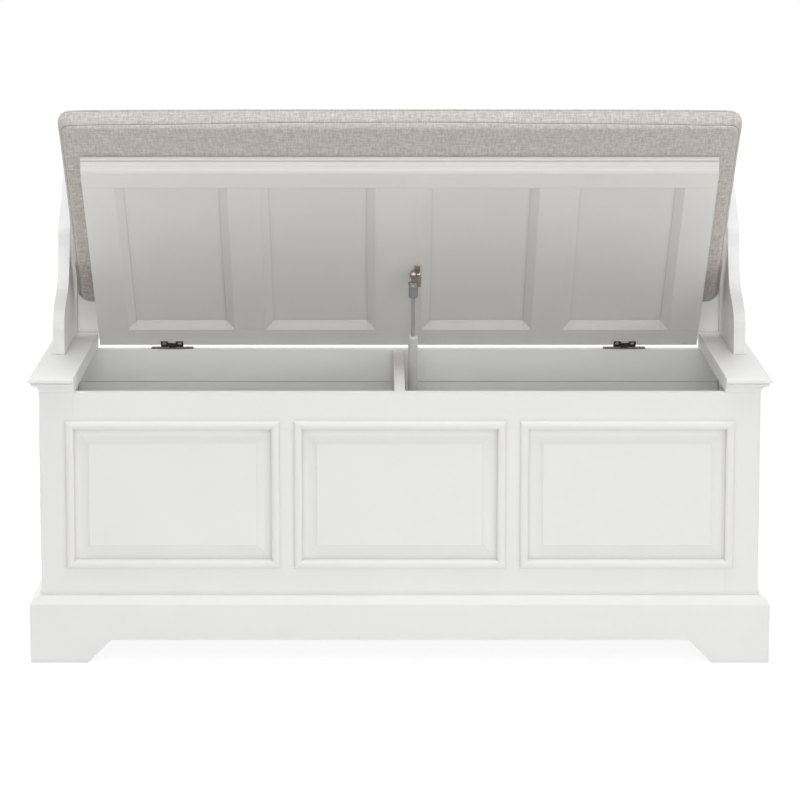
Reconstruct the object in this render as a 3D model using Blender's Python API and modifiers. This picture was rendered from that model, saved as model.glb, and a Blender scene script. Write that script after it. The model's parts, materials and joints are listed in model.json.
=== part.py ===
"""Shoe storage bench: a panelled box on a bracket-foot plinth, with a hinged framed lid, a seat cushion,
curved side wings and a low framed backrest. The lid stands open on one gas strut, and the box has two
compartments. Metres, +Z up, the bench's front faces -Y, and the origin is under its middle on the floor."""

import math

import bmesh
import bpy
from mathutils import Matrix, Vector

# Clearances
GAP = 0.0003              # between pieces that touch
GLUED = 0.0001            # between glued members of the front frame
LID_SIDE_GAP = 0.004      # lid to each cap
CUSHION_BACK_GAP = 0.002  # closed cushion to the backrest
SLIDE_FIT = 0.0003        # rod in tube, pin in knuckle
EASE = 0.0008             # eased arris on boards

# Carcass
BOX_HALF_WIDTH = 0.5345   # outer faces of the side frames
BOX_DEPTH = 0.4845        # front face to rear face
RAIL_TOP = 0.405          # top of the front and rear rails
FRAME_THICK = 0.022       # front frame
SIDE_THICK = 0.020        # side frames
STILE_WIDTH = 0.0502      # front corner stiles
TOP_RAIL_HEIGHT = 0.0545
BOTTOM_RAIL_TOP = 0.1528
FRAME_FOOT = 0.040        # lower edge of the frames, hidden by the plinth
MUNTIN_WIDTH = 0.0455
MIDDLE_OPENING_LESS = 0.0019  # middle opening narrower than a third of the room
SIDE_STILE_WIDTH = 0.060  # stiles of the side frames
REAR_RAIL_THICK = 0.022
REAR_RAIL_FOOT = 0.3505
REAR_RAIL_DROP = 0.002    # rear rail below the front one, for the hinge leaves
REAR_PANEL_THICK = 0.018
REAR_PANEL_SET_BACK = 0.001
BOTTOM_THICK = 0.016
BOTTOM_TOP = 0.118
BATTEN_SIZE = 0.020
DIVIDER_THICK = 0.016
DIVIDER_DROP = 0.0035     # top of the divider below the rails

# Raised panels and their mouldings
GROOVE_DEPTH = 0.006
TONGUE_THICK = 0.006
TONGUE_SET_BACK = 0.0078  # front of the tongue behind the frame's face
FIELD_SET_BACK = 0.002    # front of the raised field behind the frame's face
FIELD_MARGIN = 0.0215     # width of the hollow bevel round the field
FIELD_STEP = 0.0008       # small quirk at the edge of the field
MOULDING_WIDTH = 0.0123
MOULDING_RISE = 0.0056
MOULDING_LIP = 0.0003     # moulding's overlap of the opening

# Plinth
PLINTH_THICK = 0.0165
PLINTH_FACE_TOP = 0.0885
PLINTH_TOP = 0.1005
FOOT_WIDTH = 0.0855
ARCH_HEIGHT = 0.0345
FOOT_CHAMFER = 0.0355
REAR_PLINTH_THICK = 0.018

# Caps and lid
CAP_WIDTH = 0.0675
BOARD_THICK = 0.023       # caps and lid
EDGE_OVERHANG = 0.0155
LID_REAR_GAP = 0.006      # lid's rear edge in front of the hinge axis
LID_END_STILE = 0.048
LID_MULLION = 0.0485
LID_MIDDLE_MULLION = 0.0726
LID_MULLION_OUTWARD = 0.0026  # side mullions outside the middle of their bays
LID_REAR_RAIL = 0.0433
LID_FRONT_RAIL = 0.0353
LID_POCKET_DEPTH = 0.009
LID_POCKET_SLOPE = 0.013
LID_LIP = 0.0015          # edge of the sloped wall above the panel
LID_REBATE = 0.008
OPEN_ANGLE = math.radians(41.66)

# Wings and backrest
WING_THICK = 0.018
WING_SET_IN = 0.0008      # wing's outer face from the carcass's side
WING_FRONT = 0.233        # foot of the wing behind the front face
WING_TOP = 0.703
BACKREST_THICK = 0.019
BACKREST_RAIL = 0.055
BACKREST_STILE = 0.055
BACKREST_RISE = 0.004     # backrest above the wings' tips

# Hinges
HINGE_AXIS_SET_IN = 0.0145  # in front of the rear face
HINGE_AXIS_RISE = 0.0035  # above the rail
HINGE_SET_IN = 0.1155     # hinge's middle from the lid's end
FIXED_LEAF_LENGTH = 0.067
FIXED_LEAF_DEPTH = 0.0135
FIXED_LEAF_THICK = 0.0014
LEAF_THICK = 0.0010
EAR_WIDTH = 0.0115
EAR_DEPTH = 0.016
KNUCKLE_RADIUS = 0.0027
KNUCKLE_LENGTH = 0.0120
PIN_RADIUS = 0.0013
LEAF_STRIP = 0.0035

# Gas strut
STRUT_X = 0.0224
STRUT_FOOT_FORWARD = 0.040  # lower ball in front of the hinge axis
STRUT_FOOT_HEIGHT = 0.316
STRUT_LID_REACH = 0.2227  # upper ball from the hinge axis, along the lid
STRUT_LID_DROP = 0.012    # upper ball below the lid's underside
TUBE_RADIUS = 0.0076
TUBE_BORE_RADIUS = 0.0050
ROD_RADIUS = 0.0030
ROD_SHOWN = 0.0765        # rod between tube and socket with the lid open
SOCKET_RADIUS = 0.0072
SOCKET_REACH = 0.045      # upper ball to the end of its socket
LOWER_SOCKET_REACH = 0.024
BALL_RADIUS = 0.0040
STUD_RADIUS = 0.0024
COLLAR_RADIUS = 0.0045
COLLAR_THICK = 0.0020
PISTON_RADIUS = 0.0045
PISTON_LENGTH = 0.006
PISTON_SET_IN = 0.014     # inner end of the rod inside the tube, lid open
SEAL_THICK = 0.006
BRACKET_THICK = 0.0016
BRACKET_WIDTH = 0.0105
BRACKET_LENGTH = 0.058
BRACKET_PAST_BALL = 0.008
EAR_LENGTH = 0.020
EAR_INNER_X = 0.0330
DIVIDER_BRACKET_LENGTH = 0.044
DIVIDER_BRACKET_HEIGHT = 0.018

# Cushion
CUSHION_SIDE_GAP = 0.0097  # closed cushion to each wing
CUSHION_FRONT_SET_BACK = 0.01425  # behind the front face
CUSHION_EDGE = 0.0315     # height of the boxing
CUSHION_CROWN = 0.0085    # rise of the middle above the edges
CUSHION_DRAW_IN = 0.0015  # sides between the corners
CUSHION_CORNER = 0.018
CUSHION_SLID = 0.100      # pushed forward along the open lid

# Places worked out from the sizes
CAP_REAR = BOX_DEPTH + EDGE_OVERHANG
FRONT = PLINTH_THICK - (CAP_REAR + PLINTH_THICK) / 2
REAR = FRONT + BOX_DEPTH
CAP_TOP = RAIL_TOP + BOARD_THICK
CAP_OUTER = BOX_HALF_WIDTH + EDGE_OVERHANG
CAP_INNER = CAP_OUTER - CAP_WIDTH
LID_HALF = CAP_INNER - LID_SIDE_GAP
LID_MULLION_PITCH = (LID_HALF - LID_END_STILE + LID_MIDDLE_MULLION / 2) / 2 + LID_MULLION_OUTWARD
HINGE_MIDDLE = LID_HALF - HINGE_SET_IN
STILE_INNER = BOX_HALF_WIDTH - STILE_WIDTH
TOP_RAIL_FOOT = RAIL_TOP - TOP_RAIL_HEIGHT
MIDDLE_OPENING = (STILE_INNER - MUNTIN_WIDTH) * 2 / 3 - MIDDLE_OPENING_LESS
MUNTIN_INNER = MIDDLE_OPENING / 2
MUNTIN_OUTER = MUNTIN_INNER + MUNTIN_WIDTH
SIDE_INNER = BOX_HALF_WIDTH - SIDE_THICK
REAR_RAIL_FRONT = REAR - REAR_RAIL_THICK
REAR_RAIL_TOP = RAIL_TOP - REAR_RAIL_DROP
REAR_PANEL_FOOT = (PLINTH_TOP + FRAME_FOOT * 2) / 2
BACK_FACE = FRONT + CAP_REAR - BACKREST_THICK
WING_OUTER = BOX_HALF_WIDTH - WING_SET_IN
WING_INNER = WING_OUTER - WING_THICK
HINGE_AXIS = Vector((0.0, REAR - HINGE_AXIS_SET_IN, RAIL_TOP + HINGE_AXIS_RISE))
LID_REAR_EDGE = HINGE_AXIS.y - LID_REAR_GAP
LID_UNDER = RAIL_TOP + GAP
LID_PANEL_SEAT = LID_UNDER + LID_POCKET_DEPTH + LID_LIP
STRUT_FOOT = Vector((STRUT_X, HINGE_AXIS.y - STRUT_FOOT_FORWARD, STRUT_FOOT_HEIGHT))
CUSHION_WIDTH = (WING_INNER - CUSHION_SIDE_GAP) * 2
CUSHION_LENGTH = BACK_FACE - CUSHION_BACK_GAP - FRONT - CUSHION_FRONT_SET_BACK

MATERIALS = {
    "white_paint": ((0.80, 0.80, 0.79), 0.45, 0.0),
    "bronze": ((0.12, 0.085, 0.06), 0.42, 0.9),
    "stud_steel": ((0.22, 0.16, 0.11), 0.38, 0.9),
    "tube_grey": ((0.42, 0.43, 0.44), 0.35, 0.6),
    "rod_steel": ((0.55, 0.55, 0.53), 0.25, 1.0),
    "socket_plastic": ((0.16, 0.18, 0.19), 0.5, 0.0),
    "linen": ((0.62, 0.58, 0.53), 0.95, 0.0),
}


def clear_scene():
    for old in list(bpy.data.objects):
        bpy.data.objects.remove(old, do_unlink=True)


def new_collection(name):
    made = bpy.data.collections.new(name)
    bpy.context.scene.collection.children.link(made)
    return made


def material_for(node, kind):
    """Each node has its own Principled material."""
    colour, roughness, metallic = MATERIALS[kind]
    made = bpy.data.materials.new(node)
    made.use_nodes = True
    shader = made.node_tree.nodes["Principled BSDF"]
    shader.inputs["Base Color"].default_value = (*colour, 1.0)
    shader.inputs["Roughness"].default_value = roughness
    shader.inputs["Metallic"].default_value = metallic
    return made


def finish_mesh(node, maker, kind, pivot=None):
    """Turns a bmesh, drawn in the closed bench's place, into a named object on its pivot."""
    bmesh.ops.recalc_face_normals(maker, faces=maker.faces[:])
    mesh = bpy.data.meshes.new(node)
    maker.to_mesh(mesh)
    maker.free()
    made = bpy.data.objects.new(node, mesh)
    if kind is None:
        made.hide_render = True
        made.display_type = "WIRE"
        CUTTERS.objects.link(made)
    else:
        mesh.materials.append(material_for(node, kind))
        BENCH.objects.link(made)
    if pivot is not None:
        mesh.transform(Matrix.Translation(-pivot["rest_origin"]))
        made.parent = pivot["empty"]
    return made


def box_into(maker, low, high):
    """Adds one box between two corners."""
    low = Vector(low)
    high = Vector(high)
    size = Matrix.Diagonal((*(high - low), 1.0))
    bmesh.ops.create_cube(maker, size=1.0, matrix=Matrix.Translation((low + high) / 2) @ size)


def ease_edges(made, width=EASE):
    bevel = made.modifiers.new("eased_arris", "BEVEL")
    bevel.width = width
    bevel.segments = 1
    bevel.limit_method = "ANGLE"
    bevel.angle_limit = math.radians(40)


def board(node, low, high, kind="white_paint", pivot=None, eased=True):
    maker = bmesh.new()
    box_into(maker, low, high)
    made = finish_mesh(node, maker, kind, pivot)
    if eased:
        ease_edges(made)
    return made


def cylinder_into(maker, centre, axis, radius, length, sides=16):
    """Adds one closed cylinder centred at a point, along an axis."""
    turn = Vector((0, 0, 1)).rotation_difference(Vector(axis)).to_matrix().to_4x4()
    bmesh.ops.create_cone(maker, cap_ends=True, segments=sides, radius1=radius, radius2=radius,
                          depth=length, matrix=Matrix.Translation(centre) @ turn)


def cut(made, cutter, name="cut"):
    step = made.modifiers.new(name, "BOOLEAN")
    step.operation = "DIFFERENCE"
    step.solver = "EXACT"
    step.object = cutter


def join(made, piece, name="join"):
    step = made.modifiers.new(name, "BOOLEAN")
    step.operation = "UNION"
    step.solver = "EXACT"
    step.object = piece


def rings_into(maker, rings, closed=False):
    """Skins a list of point rings; the ends are capped, or the last ring meets the first."""
    loops = [[maker.verts.new(point) for point in ring] for ring in rings]
    pairs = list(zip(loops, loops[1:]))
    if closed:
        pairs.append((loops[-1], loops[0]))
    for first, second in pairs:
        for i, point in enumerate(first):
            j = (i + 1) % len(first)
            maker.faces.new((point, first[j], second[j], second[i]))
    if not closed:
        maker.faces.new(loops[0])
        maker.faces.new(loops[-1])


def arc(centre, radius, start, end, steps):
    """Points on an arc in degrees, both ends included."""
    return [(centre[0] + radius * math.cos(math.radians(start + (end - start) * i / steps)),
             centre[1] + radius * math.sin(math.radians(start + (end - start) * i / steps)))
            for i in range(steps + 1)]


# Pivots

def new_pivot(name, origin, turn_x=0.0, parent=None):
    """An empty on a joint's axis; pieces under it are drawn in the closed bench's place."""
    empty = bpy.data.objects.new(name, None)
    BENCH.objects.link(empty)
    empty.location = origin
    empty.rotation_euler.x = turn_x
    if parent is not None:
        empty.parent = parent["empty"]
        empty.location = Vector(origin) - parent["rest_origin"]
    return {"empty": empty, "rest_origin": Vector(origin)}


# Plinth

def plinth_profile():
    """The board's section as (out from the carcass, height): a small arris, then an ogee slope in."""
    run = PLINTH_THICK - GAP
    slope = PLINTH_TOP - PLINTH_FACE_TOP
    points = [(GAP, 0.0), (PLINTH_THICK, 0.0), (PLINTH_THICK, PLINTH_FACE_TOP - 0.1 * slope),
              (PLINTH_THICK - 0.08 * run, PLINTH_FACE_TOP + 0.1 * slope)]
    for i in range(1, 6):
        share = i / 6
        points.append((PLINTH_THICK - run * (0.08 + 0.84 * share),
                       PLINTH_FACE_TOP + slope * (0.1 + 0.9 * math.sin(share * math.pi / 2))))
    return points + [(GAP + 0.0012, PLINTH_TOP), (GAP, PLINTH_TOP)]


def arch_cutter(node, along, half_low, centre, across_low, across_high):
    """A flat-topped opening with 45 degree corners, pushed through a board; along is 0 for X, 1 for Y."""
    outline = [(-half_low, -0.01), (half_low, -0.01), (half_low, 0.0),
               (half_low - FOOT_CHAMFER, ARCH_HEIGHT), (-half_low + FOOT_CHAMFER, ARCH_HEIGHT),
               (-half_low, 0.0)]
    rings = []
    for across in (across_low, across_high):
        if along == 0:
            rings.append([(centre + u, across, z) for u, z in outline])
        else:
            rings.append([(across, centre + u, z) for u, z in outline])
    maker = bmesh.new()
    rings_into(maker, rings)
    return finish_mesh(node, maker, None)


def make_plinth():
    profile = plinth_profile()
    outer = BOX_HALF_WIDTH + PLINTH_THICK
    rings = [[(side * (BOX_HALF_WIDTH + u - GAP / 2), FRONT - u, z) for u, z in profile]
             for side in (-1, 1)]
    maker = bmesh.new()
    rings_into(maker, rings)
    front_board = finish_mesh("plinth_front_board", maker, "white_paint")
    cut(front_board, arch_cutter("front_arch", 0, outer - FOOT_WIDTH, 0.0, FRONT - 0.05, FRONT + 0.05))
    side_centre = (FRONT - PLINTH_THICK + REAR) / 2
    side_half = (REAR - FRONT + PLINTH_THICK) / 2 - FOOT_WIDTH
    for side, word in ((-1, "left"), (1, "right")):
        ring_front = [(side * (BOX_HALF_WIDTH + u), FRONT - u + GAP / 2, z) for u, z in profile]
        ring_rear = [(side * (BOX_HALF_WIDTH + u), REAR, z) for u, z in profile]
        maker = bmesh.new()
        rings_into(maker, [ring_front, ring_rear])
        made = finish_mesh(f"plinth_{word}_board", maker, "white_paint")
        across = sorted((side * (BOX_HALF_WIDTH - 0.03), side * (BOX_HALF_WIDTH + 0.05)))
        cut(made, arch_cutter(f"{word}_arch", 1, side_half, side_centre, *across))
    rear_board = board("plinth_rear_board", (-BOX_HALF_WIDTH, REAR - REAR_PLINTH_THICK, 0.0),
                       (BOX_HALF_WIDTH, REAR, REAR_PANEL_FOOT - GAP), eased=False)
    cut(rear_board, arch_cutter("rear_arch", 0, outer - FOOT_WIDTH, 0.0, REAR - 0.05, REAR + 0.05))


# Frames, panels and their mouldings

def framed_place(face, inward, across):
    """Returns a function that puts (across, height, depth behind the face) into the bench's place.
    The front face has across = X and depth = +Y; a side face has across = Y and depth inward."""
    if across == "x":
        return lambda a, z, depth: (a, face + inward * depth, z)
    return lambda a, z, depth: (face + inward * depth, a, z)


def fielded_panel(node, place, a0, a1, z0, z1):
    """A raised and fielded panel whose tongue sits in the frame's grooves; a0..z1 is the clear opening."""
    reach = GROOVE_DEPTH - GAP * 2
    fall = TONGUE_SET_BACK - FIELD_SET_BACK - FIELD_STEP
    layers = [(reach, TONGUE_SET_BACK + TONGUE_THICK), (reach, TONGUE_SET_BACK)]
    for share in (0.0, 0.28, 0.5, 0.72, 0.88, 1.0):
        layers.append((-GAP - share * (FIELD_MARGIN - GAP), TONGUE_SET_BACK - fall * share ** 2.2))
    layers.append((-FIELD_MARGIN - 0.0006, FIELD_SET_BACK))
    rings = []
    for grow, depth in layers:
        corners = ((a0 - grow, z0 - grow), (a1 + grow, z0 - grow), (a1 + grow, z1 + grow),
                   (a0 - grow, z1 + grow))
        rings.append([place(a, z, depth) for a, z in corners])
    maker = bmesh.new()
    rings_into(maker, rings)
    return finish_mesh(node, maker, "white_paint")


def groove_cutter(node, place, openings):
    """Slots for the panels' tongues round each opening."""
    maker = bmesh.new()
    for a0, a1, z0, z1 in openings:
        corners = [place(a, z, depth) for a, z, depth in
                   ((a0 - GROOVE_DEPTH, z0 - GROOVE_DEPTH, TONGUE_SET_BACK - GAP),
                    (a1 + GROOVE_DEPTH, z1 + GROOVE_DEPTH, TONGUE_SET_BACK + TONGUE_THICK + GAP))]
        low = [min(pair) for pair in zip(*corners)]
        high = [max(pair) for pair in zip(*corners)]
        box_into(maker, low, high)
    return finish_mesh(node, maker, None)


def moulding_profile():
    """Half-round section as (out from the opening's edge, depth; minus is proud of the frame)."""
    foot = 0.0007
    half = (MOULDING_WIDTH + MOULDING_LIP) / 2
    points = [(-MOULDING_LIP, -GAP)]
    for degrees in (180, 160, 138, 114, 90, 66, 42, 20, 0):
        turn = math.radians(degrees)
        points.append((half - MOULDING_LIP + half * math.cos(turn),
                       -foot - (MOULDING_RISE - foot) * math.sin(turn)))
    return points + [(MOULDING_WIDTH, -GAP)]


def panel_moulding(node, place, a0, a1, z0, z1):
    """A mitred ring of the moulding round one opening."""
    rings = []
    for sa, sz, a, z in ((-1, -1, a0, z0), (1, -1, a1, z0), (1, 1, a1, z1), (-1, 1, a0, z1)):
        rings.append([place(a + sa * u, z + sz * u, depth) for u, depth in moulding_profile()])
    maker = bmesh.new()
    rings_into(maker, rings, closed=True)
    return finish_mesh(node, maker, "white_paint")


def make_front():
    place = framed_place(FRONT, 1, "x")
    low = BOTTOM_RAIL_TOP
    high = TOP_RAIL_FOOT
    openings = {"left": (-STILE_INNER, -MUNTIN_OUTER, low, high),
                "middle": (-MUNTIN_INNER, MUNTIN_INNER, low, high),
                "right": (MUNTIN_OUTER, STILE_INNER, low, high)}
    grooves = groove_cutter("front_grooves", place, openings.values())
    inside = FRONT + FRAME_THICK
    rail_end = STILE_INNER - GLUED
    members = [
        board("front_top_rail", (-rail_end, FRONT, high), (rail_end, inside, RAIL_TOP - GAP), eased=False),
        board("front_bottom_rail", (-rail_end, FRONT, FRAME_FOOT), (rail_end, inside, low), eased=False),
    ]
    for side, word in ((-1, "left"), (1, "right")):
        xs = sorted((side * STILE_INNER, side * BOX_HALF_WIDTH))
        members.append(board(f"front_{word}_stile", (xs[0], FRONT, 0.0), (xs[1], inside, RAIL_TOP - GAP),
                             eased=False))
        xs = sorted((side * MUNTIN_INNER, side * MUNTIN_OUTER))
        members.append(board(f"front_{word}_muntin", (xs[0], FRONT, low + GLUED),
                             (xs[1], inside, high - GLUED), eased=False))
    for member in members:
        cut(member, grooves, "panel_grooves")
    for word, opening in openings.items():
        fielded_panel(f"front_{word}_panel", place, *opening)
        panel_moulding(f"front_{word}_panel_moulding", place, *opening)


def make_sides():
    rear_seat = bmesh.new()
    box_into(rear_seat, (-BOX_HALF_WIDTH - 0.05, REAR - REAR_PLINTH_THICK - GAP, -0.05),
             (BOX_HALF_WIDTH + 0.05, REAR + 0.05, REAR_PANEL_FOOT))
    rear_seat = finish_mesh("rear_plinth_seat", rear_seat, None)
    for side, word in ((-1, "left"), (1, "right")):
        place = framed_place(side * BOX_HALF_WIDTH, -side, "y")
        y0 = FRONT + FRAME_THICK + GAP
        a0 = FRONT + SIDE_STILE_WIDTH
        a1 = REAR - SIDE_STILE_WIDTH
        opening = (a0, a1, BOTTOM_RAIL_TOP, TOP_RAIL_FOOT)
        xs = sorted((side * SIDE_INNER, side * BOX_HALF_WIDTH))
        frame = board(f"{word}_side_frame", (xs[0], y0, FRAME_FOOT), (xs[1], REAR, RAIL_TOP - GAP))
        maker = bmesh.new()
        box_into(maker, (xs[0] - 0.05, a0, BOTTOM_RAIL_TOP), (xs[1] + 0.05, a1, TOP_RAIL_FOOT))
        cut(frame, finish_mesh(f"{word}_side_window", maker, None), "window")
        cut(frame, groove_cutter(f"{word}_side_grooves", place, [opening]), "panel_grooves")
        cut(frame, rear_seat, "rear_plinth_seat")
        fielded_panel(f"{word}_side_panel", place, *opening)
        panel_moulding(f"{word}_side_panel_moulding", place, *opening)


def make_inside():
    inside = FRONT + FRAME_THICK + GAP
    reach = SIDE_INNER - GAP
    board("rear_top_rail", (-reach, REAR_RAIL_FRONT, REAR_RAIL_FOOT), (reach, REAR, REAR_RAIL_TOP))
    panel_front = REAR_RAIL_FRONT + REAR_PANEL_SET_BACK
    board("rear_panel", (-reach, panel_front, REAR_PANEL_FOOT),
          (reach, panel_front + REAR_PANEL_THICK, REAR_RAIL_FOOT - GAP))
    under = BOTTOM_TOP - BOTTOM_THICK
    board("bottom_board", (-reach, inside, under), (reach, panel_front - GAP, BOTTOM_TOP))
    for word, y in (("front", inside), ("rear", panel_front - GAP - BATTEN_SIZE)):
        board(f"bottom_{word}_batten", (-STILE_INNER, y, under - GAP - BATTEN_SIZE),
              (STILE_INNER, y + BATTEN_SIZE, under - GAP))
    board("divider", (-DIVIDER_THICK / 2, inside, BOTTOM_TOP + GAP),
          (DIVIDER_THICK / 2, REAR_RAIL_FRONT - GAP, RAIL_TOP - DIVIDER_DROP))


# Caps and lid

def edge_profile(under):
    """The moulded edge as (overhang, height): cove, bead and rounded nosing, from the underside up."""
    foot = under + 0.0008
    cove = 0.0098
    nosing = under + 0.0159
    points = [(0.0, under), (0.0, foot)]
    points += [(cove - cove * math.cos(math.radians(a)), foot + cove * math.sin(math.radians(a)))
               for a in (22, 45, 68, 90)]
    points += arc((cove + 0.0002, under + 0.0137), 0.0020, -65, 65, 4)
    points += [(cove + 0.0009, nosing), (EDGE_OVERHANG - 0.0008, nosing + 0.0003)]
    points.append((EDGE_OVERHANG, nosing + 0.0013))
    return points + arc((EDGE_OVERHANG - 0.0028, CAP_TOP - 0.0028), 0.0028, 0, 90, 4)


def make_caps():
    for side, word in ((-1, "left"), (1, "right")):
        rings = []
        for out, z in edge_profile(RAIL_TOP):
            outer = side * (BOX_HALF_WIDTH + out)
            rings.append([(side * CAP_INNER, FRONT - out, z), (outer, FRONT - out, z),
                          (outer, REAR + out, z), (side * CAP_INNER, REAR + out, z)])
        maker = bmesh.new()
        rings_into(maker, rings)
        finish_mesh(f"cap_{word}", maker, "white_paint")


def lid_bays():
    """Underside openings of the four lid pockets, as (x low, x high)."""
    half = LID_MIDDLE_MULLION / 2
    inner = LID_MULLION_PITCH - LID_MULLION / 2
    outer = LID_MULLION_PITCH + LID_MULLION / 2
    end = LID_HALF - LID_END_STILE
    return [(-end, -outer), (-inner, -half), (half, inner), (outer, end)]


def lid_cutters(y_low, y_high):
    """Tapered pockets from below, and rebates for the panels from above."""
    pockets = bmesh.new()
    rebates = bmesh.new()
    over = 0.002
    for x0, x1 in lid_bays():
        rings = []
        for depth in (-over, LID_POCKET_DEPTH + over):
            grow = -LID_POCKET_SLOPE * depth / LID_POCKET_DEPTH
            z = LID_UNDER + depth
            rings.append([(x0 - grow, y_low - grow, z), (x1 + grow, y_low - grow, z),
                          (x1 + grow, y_high + grow, z), (x0 - grow, y_high + grow, z)])
        rings_into(pockets, rings)
        reach = LID_REBATE - LID_POCKET_SLOPE
        box_into(rebates, (x0 - reach, y_low - reach, LID_PANEL_SEAT),
                 (x1 + reach, y_high + reach, CAP_TOP + 0.01))
    return finish_mesh("lid_pockets", pockets, None, LID), finish_mesh("lid_rebates", rebates, None, LID)


def rail_lips(node, edge, towards):
    """The parts of a lid rail that reach into the bays as its sloped walls."""
    maker = bmesh.new()
    ys = sorted((edge - towards * 0.002, edge + towards * LID_POCKET_SLOPE))
    inset = LID_POCKET_SLOPE + GAP
    for x0, x1 in lid_bays():
        box_into(maker, (x0 + inset, ys[0], LID_UNDER), (x1 - inset, ys[1], CAP_TOP))
    return finish_mesh(node, maker, None, LID)


def make_lid():
    y_low = FRONT + LID_FRONT_RAIL
    y_high = LID_REAR_EDGE - LID_REAR_RAIL
    pockets, rebates = lid_cutters(y_low, y_high)
    rings = []
    for out, z in edge_profile(RAIL_TOP):
        z = max(z, LID_UNDER)
        rings.append([(-LID_HALF, y_low, z), (-LID_HALF, FRONT - out, z), (LID_HALF, FRONT - out, z),
                      (LID_HALF, y_low, z)])
    maker = bmesh.new()
    rings_into(maker, rings)
    front_rail = finish_mesh("lid_front_rail", maker, "white_paint", LID)
    rear_rail = board("lid_rear_rail", (-LID_HALF, y_high, LID_UNDER), (LID_HALF, LID_REAR_EDGE, CAP_TOP),
                      pivot=LID, eased=False)
    join(front_rail, rail_lips("front_rail_lips", y_low, 1), "lips")
    join(rear_rail, rail_lips("rear_rail_lips", y_high, -1), "lips")
    members = [front_rail, rear_rail]
    y0 = y_low + GAP
    y1 = y_high - GAP
    end = LID_HALF - LID_END_STILE - LID_POCKET_SLOPE
    members.append(board("lid_left_stile", (-LID_HALF, y0, LID_UNDER), (-end, y1, CAP_TOP), pivot=LID,
                         eased=False))
    members.append(board("lid_right_stile", (end, y0, LID_UNDER), (LID_HALF, y1, CAP_TOP), pivot=LID,
                         eased=False))
    mullions = ((-LID_MULLION_PITCH, LID_MULLION, "left"), (0.0, LID_MIDDLE_MULLION, "middle"),
                (LID_MULLION_PITCH, LID_MULLION, "right"))
    for centre, width, word in mullions:
        half = width / 2 + LID_POCKET_SLOPE
        members.append(board(f"lid_{word}_mullion", (centre - half, y0, LID_UNDER),
                             (centre + half, y1, CAP_TOP), pivot=LID, eased=False))
    for made in members:
        cut(made, pockets, "pockets")
        cut(made, rebates, "rebates")
    cut(rear_rail, leaf_seats(), "leaf_seats")
    reach = LID_REBATE - LID_POCKET_SLOPE - GAP
    for number, (x0, x1) in enumerate(lid_bays(), 1):
        board(f"lid_panel_{number}", (x0 - reach, y_low - reach, LID_PANEL_SEAT + GAP),
              (x1 + reach, y_high + reach, CAP_TOP), pivot=LID)


# Hinges

def leaf_seats():
    """Shallow seats in the lid that the moving leaves lie flush in."""
    maker = bmesh.new()
    half = KNUCKLE_LENGTH / 2 + GAP + EAR_WIDTH + GAP
    for side in (-1, 1):
        centre = side * HINGE_MIDDLE
        box_into(maker, (centre - half, HINGE_AXIS.y - EAR_DEPTH - GAP, LID_UNDER - 0.01),
                 (centre + half, HINGE_AXIS.y + 0.01, LID_UNDER + LEAF_THICK + GAP))
    return finish_mesh("leaf_seats", maker, None, LID)


def make_hinges():
    leaf_low = REAR_RAIL_TOP + GAP
    leaf_top = leaf_low + FIXED_LEAF_THICK
    for side, word in ((-1, "left"), (1, "right")):
        centre = side * HINGE_MIDDLE
        axis = Vector((centre, HINGE_AXIS.y, HINGE_AXIS.z))
        half = FIXED_LEAF_LENGTH / 2
        fixed = board(f"hinge_{word}_fixed_leaf", (centre - half, HINGE_AXIS.y, leaf_low),
                      (centre + half, HINGE_AXIS.y + FIXED_LEAF_DEPTH, leaf_top), "bronze", eased=False)
        maker = bmesh.new()
        cylinder_into(maker, axis, (1, 0, 0), KNUCKLE_RADIUS, KNUCKLE_LENGTH)
        join(fixed, finish_mesh(f"{word}_fixed_knuckle", maker, None), "knuckle")
        maker = bmesh.new()
        web_half = KNUCKLE_LENGTH * 0.49
        box_into(maker, (centre - web_half, HINGE_AXIS.y + 0.0004, leaf_low + FIXED_LEAF_THICK / 2),
                 (centre + web_half, HINGE_AXIS.y + 0.0022, HINGE_AXIS.z))
        join(fixed, finish_mesh(f"{word}_fixed_web", maker, None), "web")
        ear_start = KNUCKLE_LENGTH / 2 + GAP
        ears_half = ear_start + EAR_WIDTH
        strip_half = ears_half - 0.0005
        moving = board(f"hinge_{word}_moving_leaf",
                       (centre - strip_half, LID_REAR_EDGE - LEAF_STRIP, LID_UNDER),
                       (centre + strip_half, LID_REAR_EDGE, LID_UNDER + LEAF_THICK), "bronze", LID,
                       eased=False)
        for end in (-1, 1):
            xs = sorted((centre + end * ear_start, centre + end * ears_half))
            maker = bmesh.new()
            box_into(maker, (xs[0], HINGE_AXIS.y - EAR_DEPTH, LID_UNDER),
                     (xs[1], HINGE_AXIS.y + 0.0004, LID_UNDER + LEAF_THICK))
            join(moving, finish_mesh(f"{word}_ear_{end + 1}", maker, None, LID), "ear")
            maker = bmesh.new()
            cylinder_into(maker, (sum(xs) / 2, axis.y, axis.z), (1, 0, 0), KNUCKLE_RADIUS,
                          EAR_WIDTH - 0.0002)
            join(moving, finish_mesh(f"{word}_knuckle_{end + 1}", maker, None, LID), "knuckle")
        for leaf, pivot in ((fixed, None), (moving, LID)):
            maker = bmesh.new()
            cylinder_into(maker, axis, (1, 0, 0), PIN_RADIUS + SLIDE_FIT, ears_half * 3)
            cut(leaf, finish_mesh(f"{leaf.name}_bore", maker, None, pivot), "bore")
        maker = bmesh.new()
        cylinder_into(maker, axis, (1, 0, 0), PIN_RADIUS, ears_half * 2, sides=12)
        finish_mesh(f"hinge_{word}_pin", maker, "bronze", LID)


# Gas strut

def lid_point(reach, drop):
    """A point of the closed lid: so far from the hinge axis, and so far below the lid's underside."""
    return Vector((STRUT_X, HINGE_AXIS.y - reach, LID_UNDER - drop))


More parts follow.
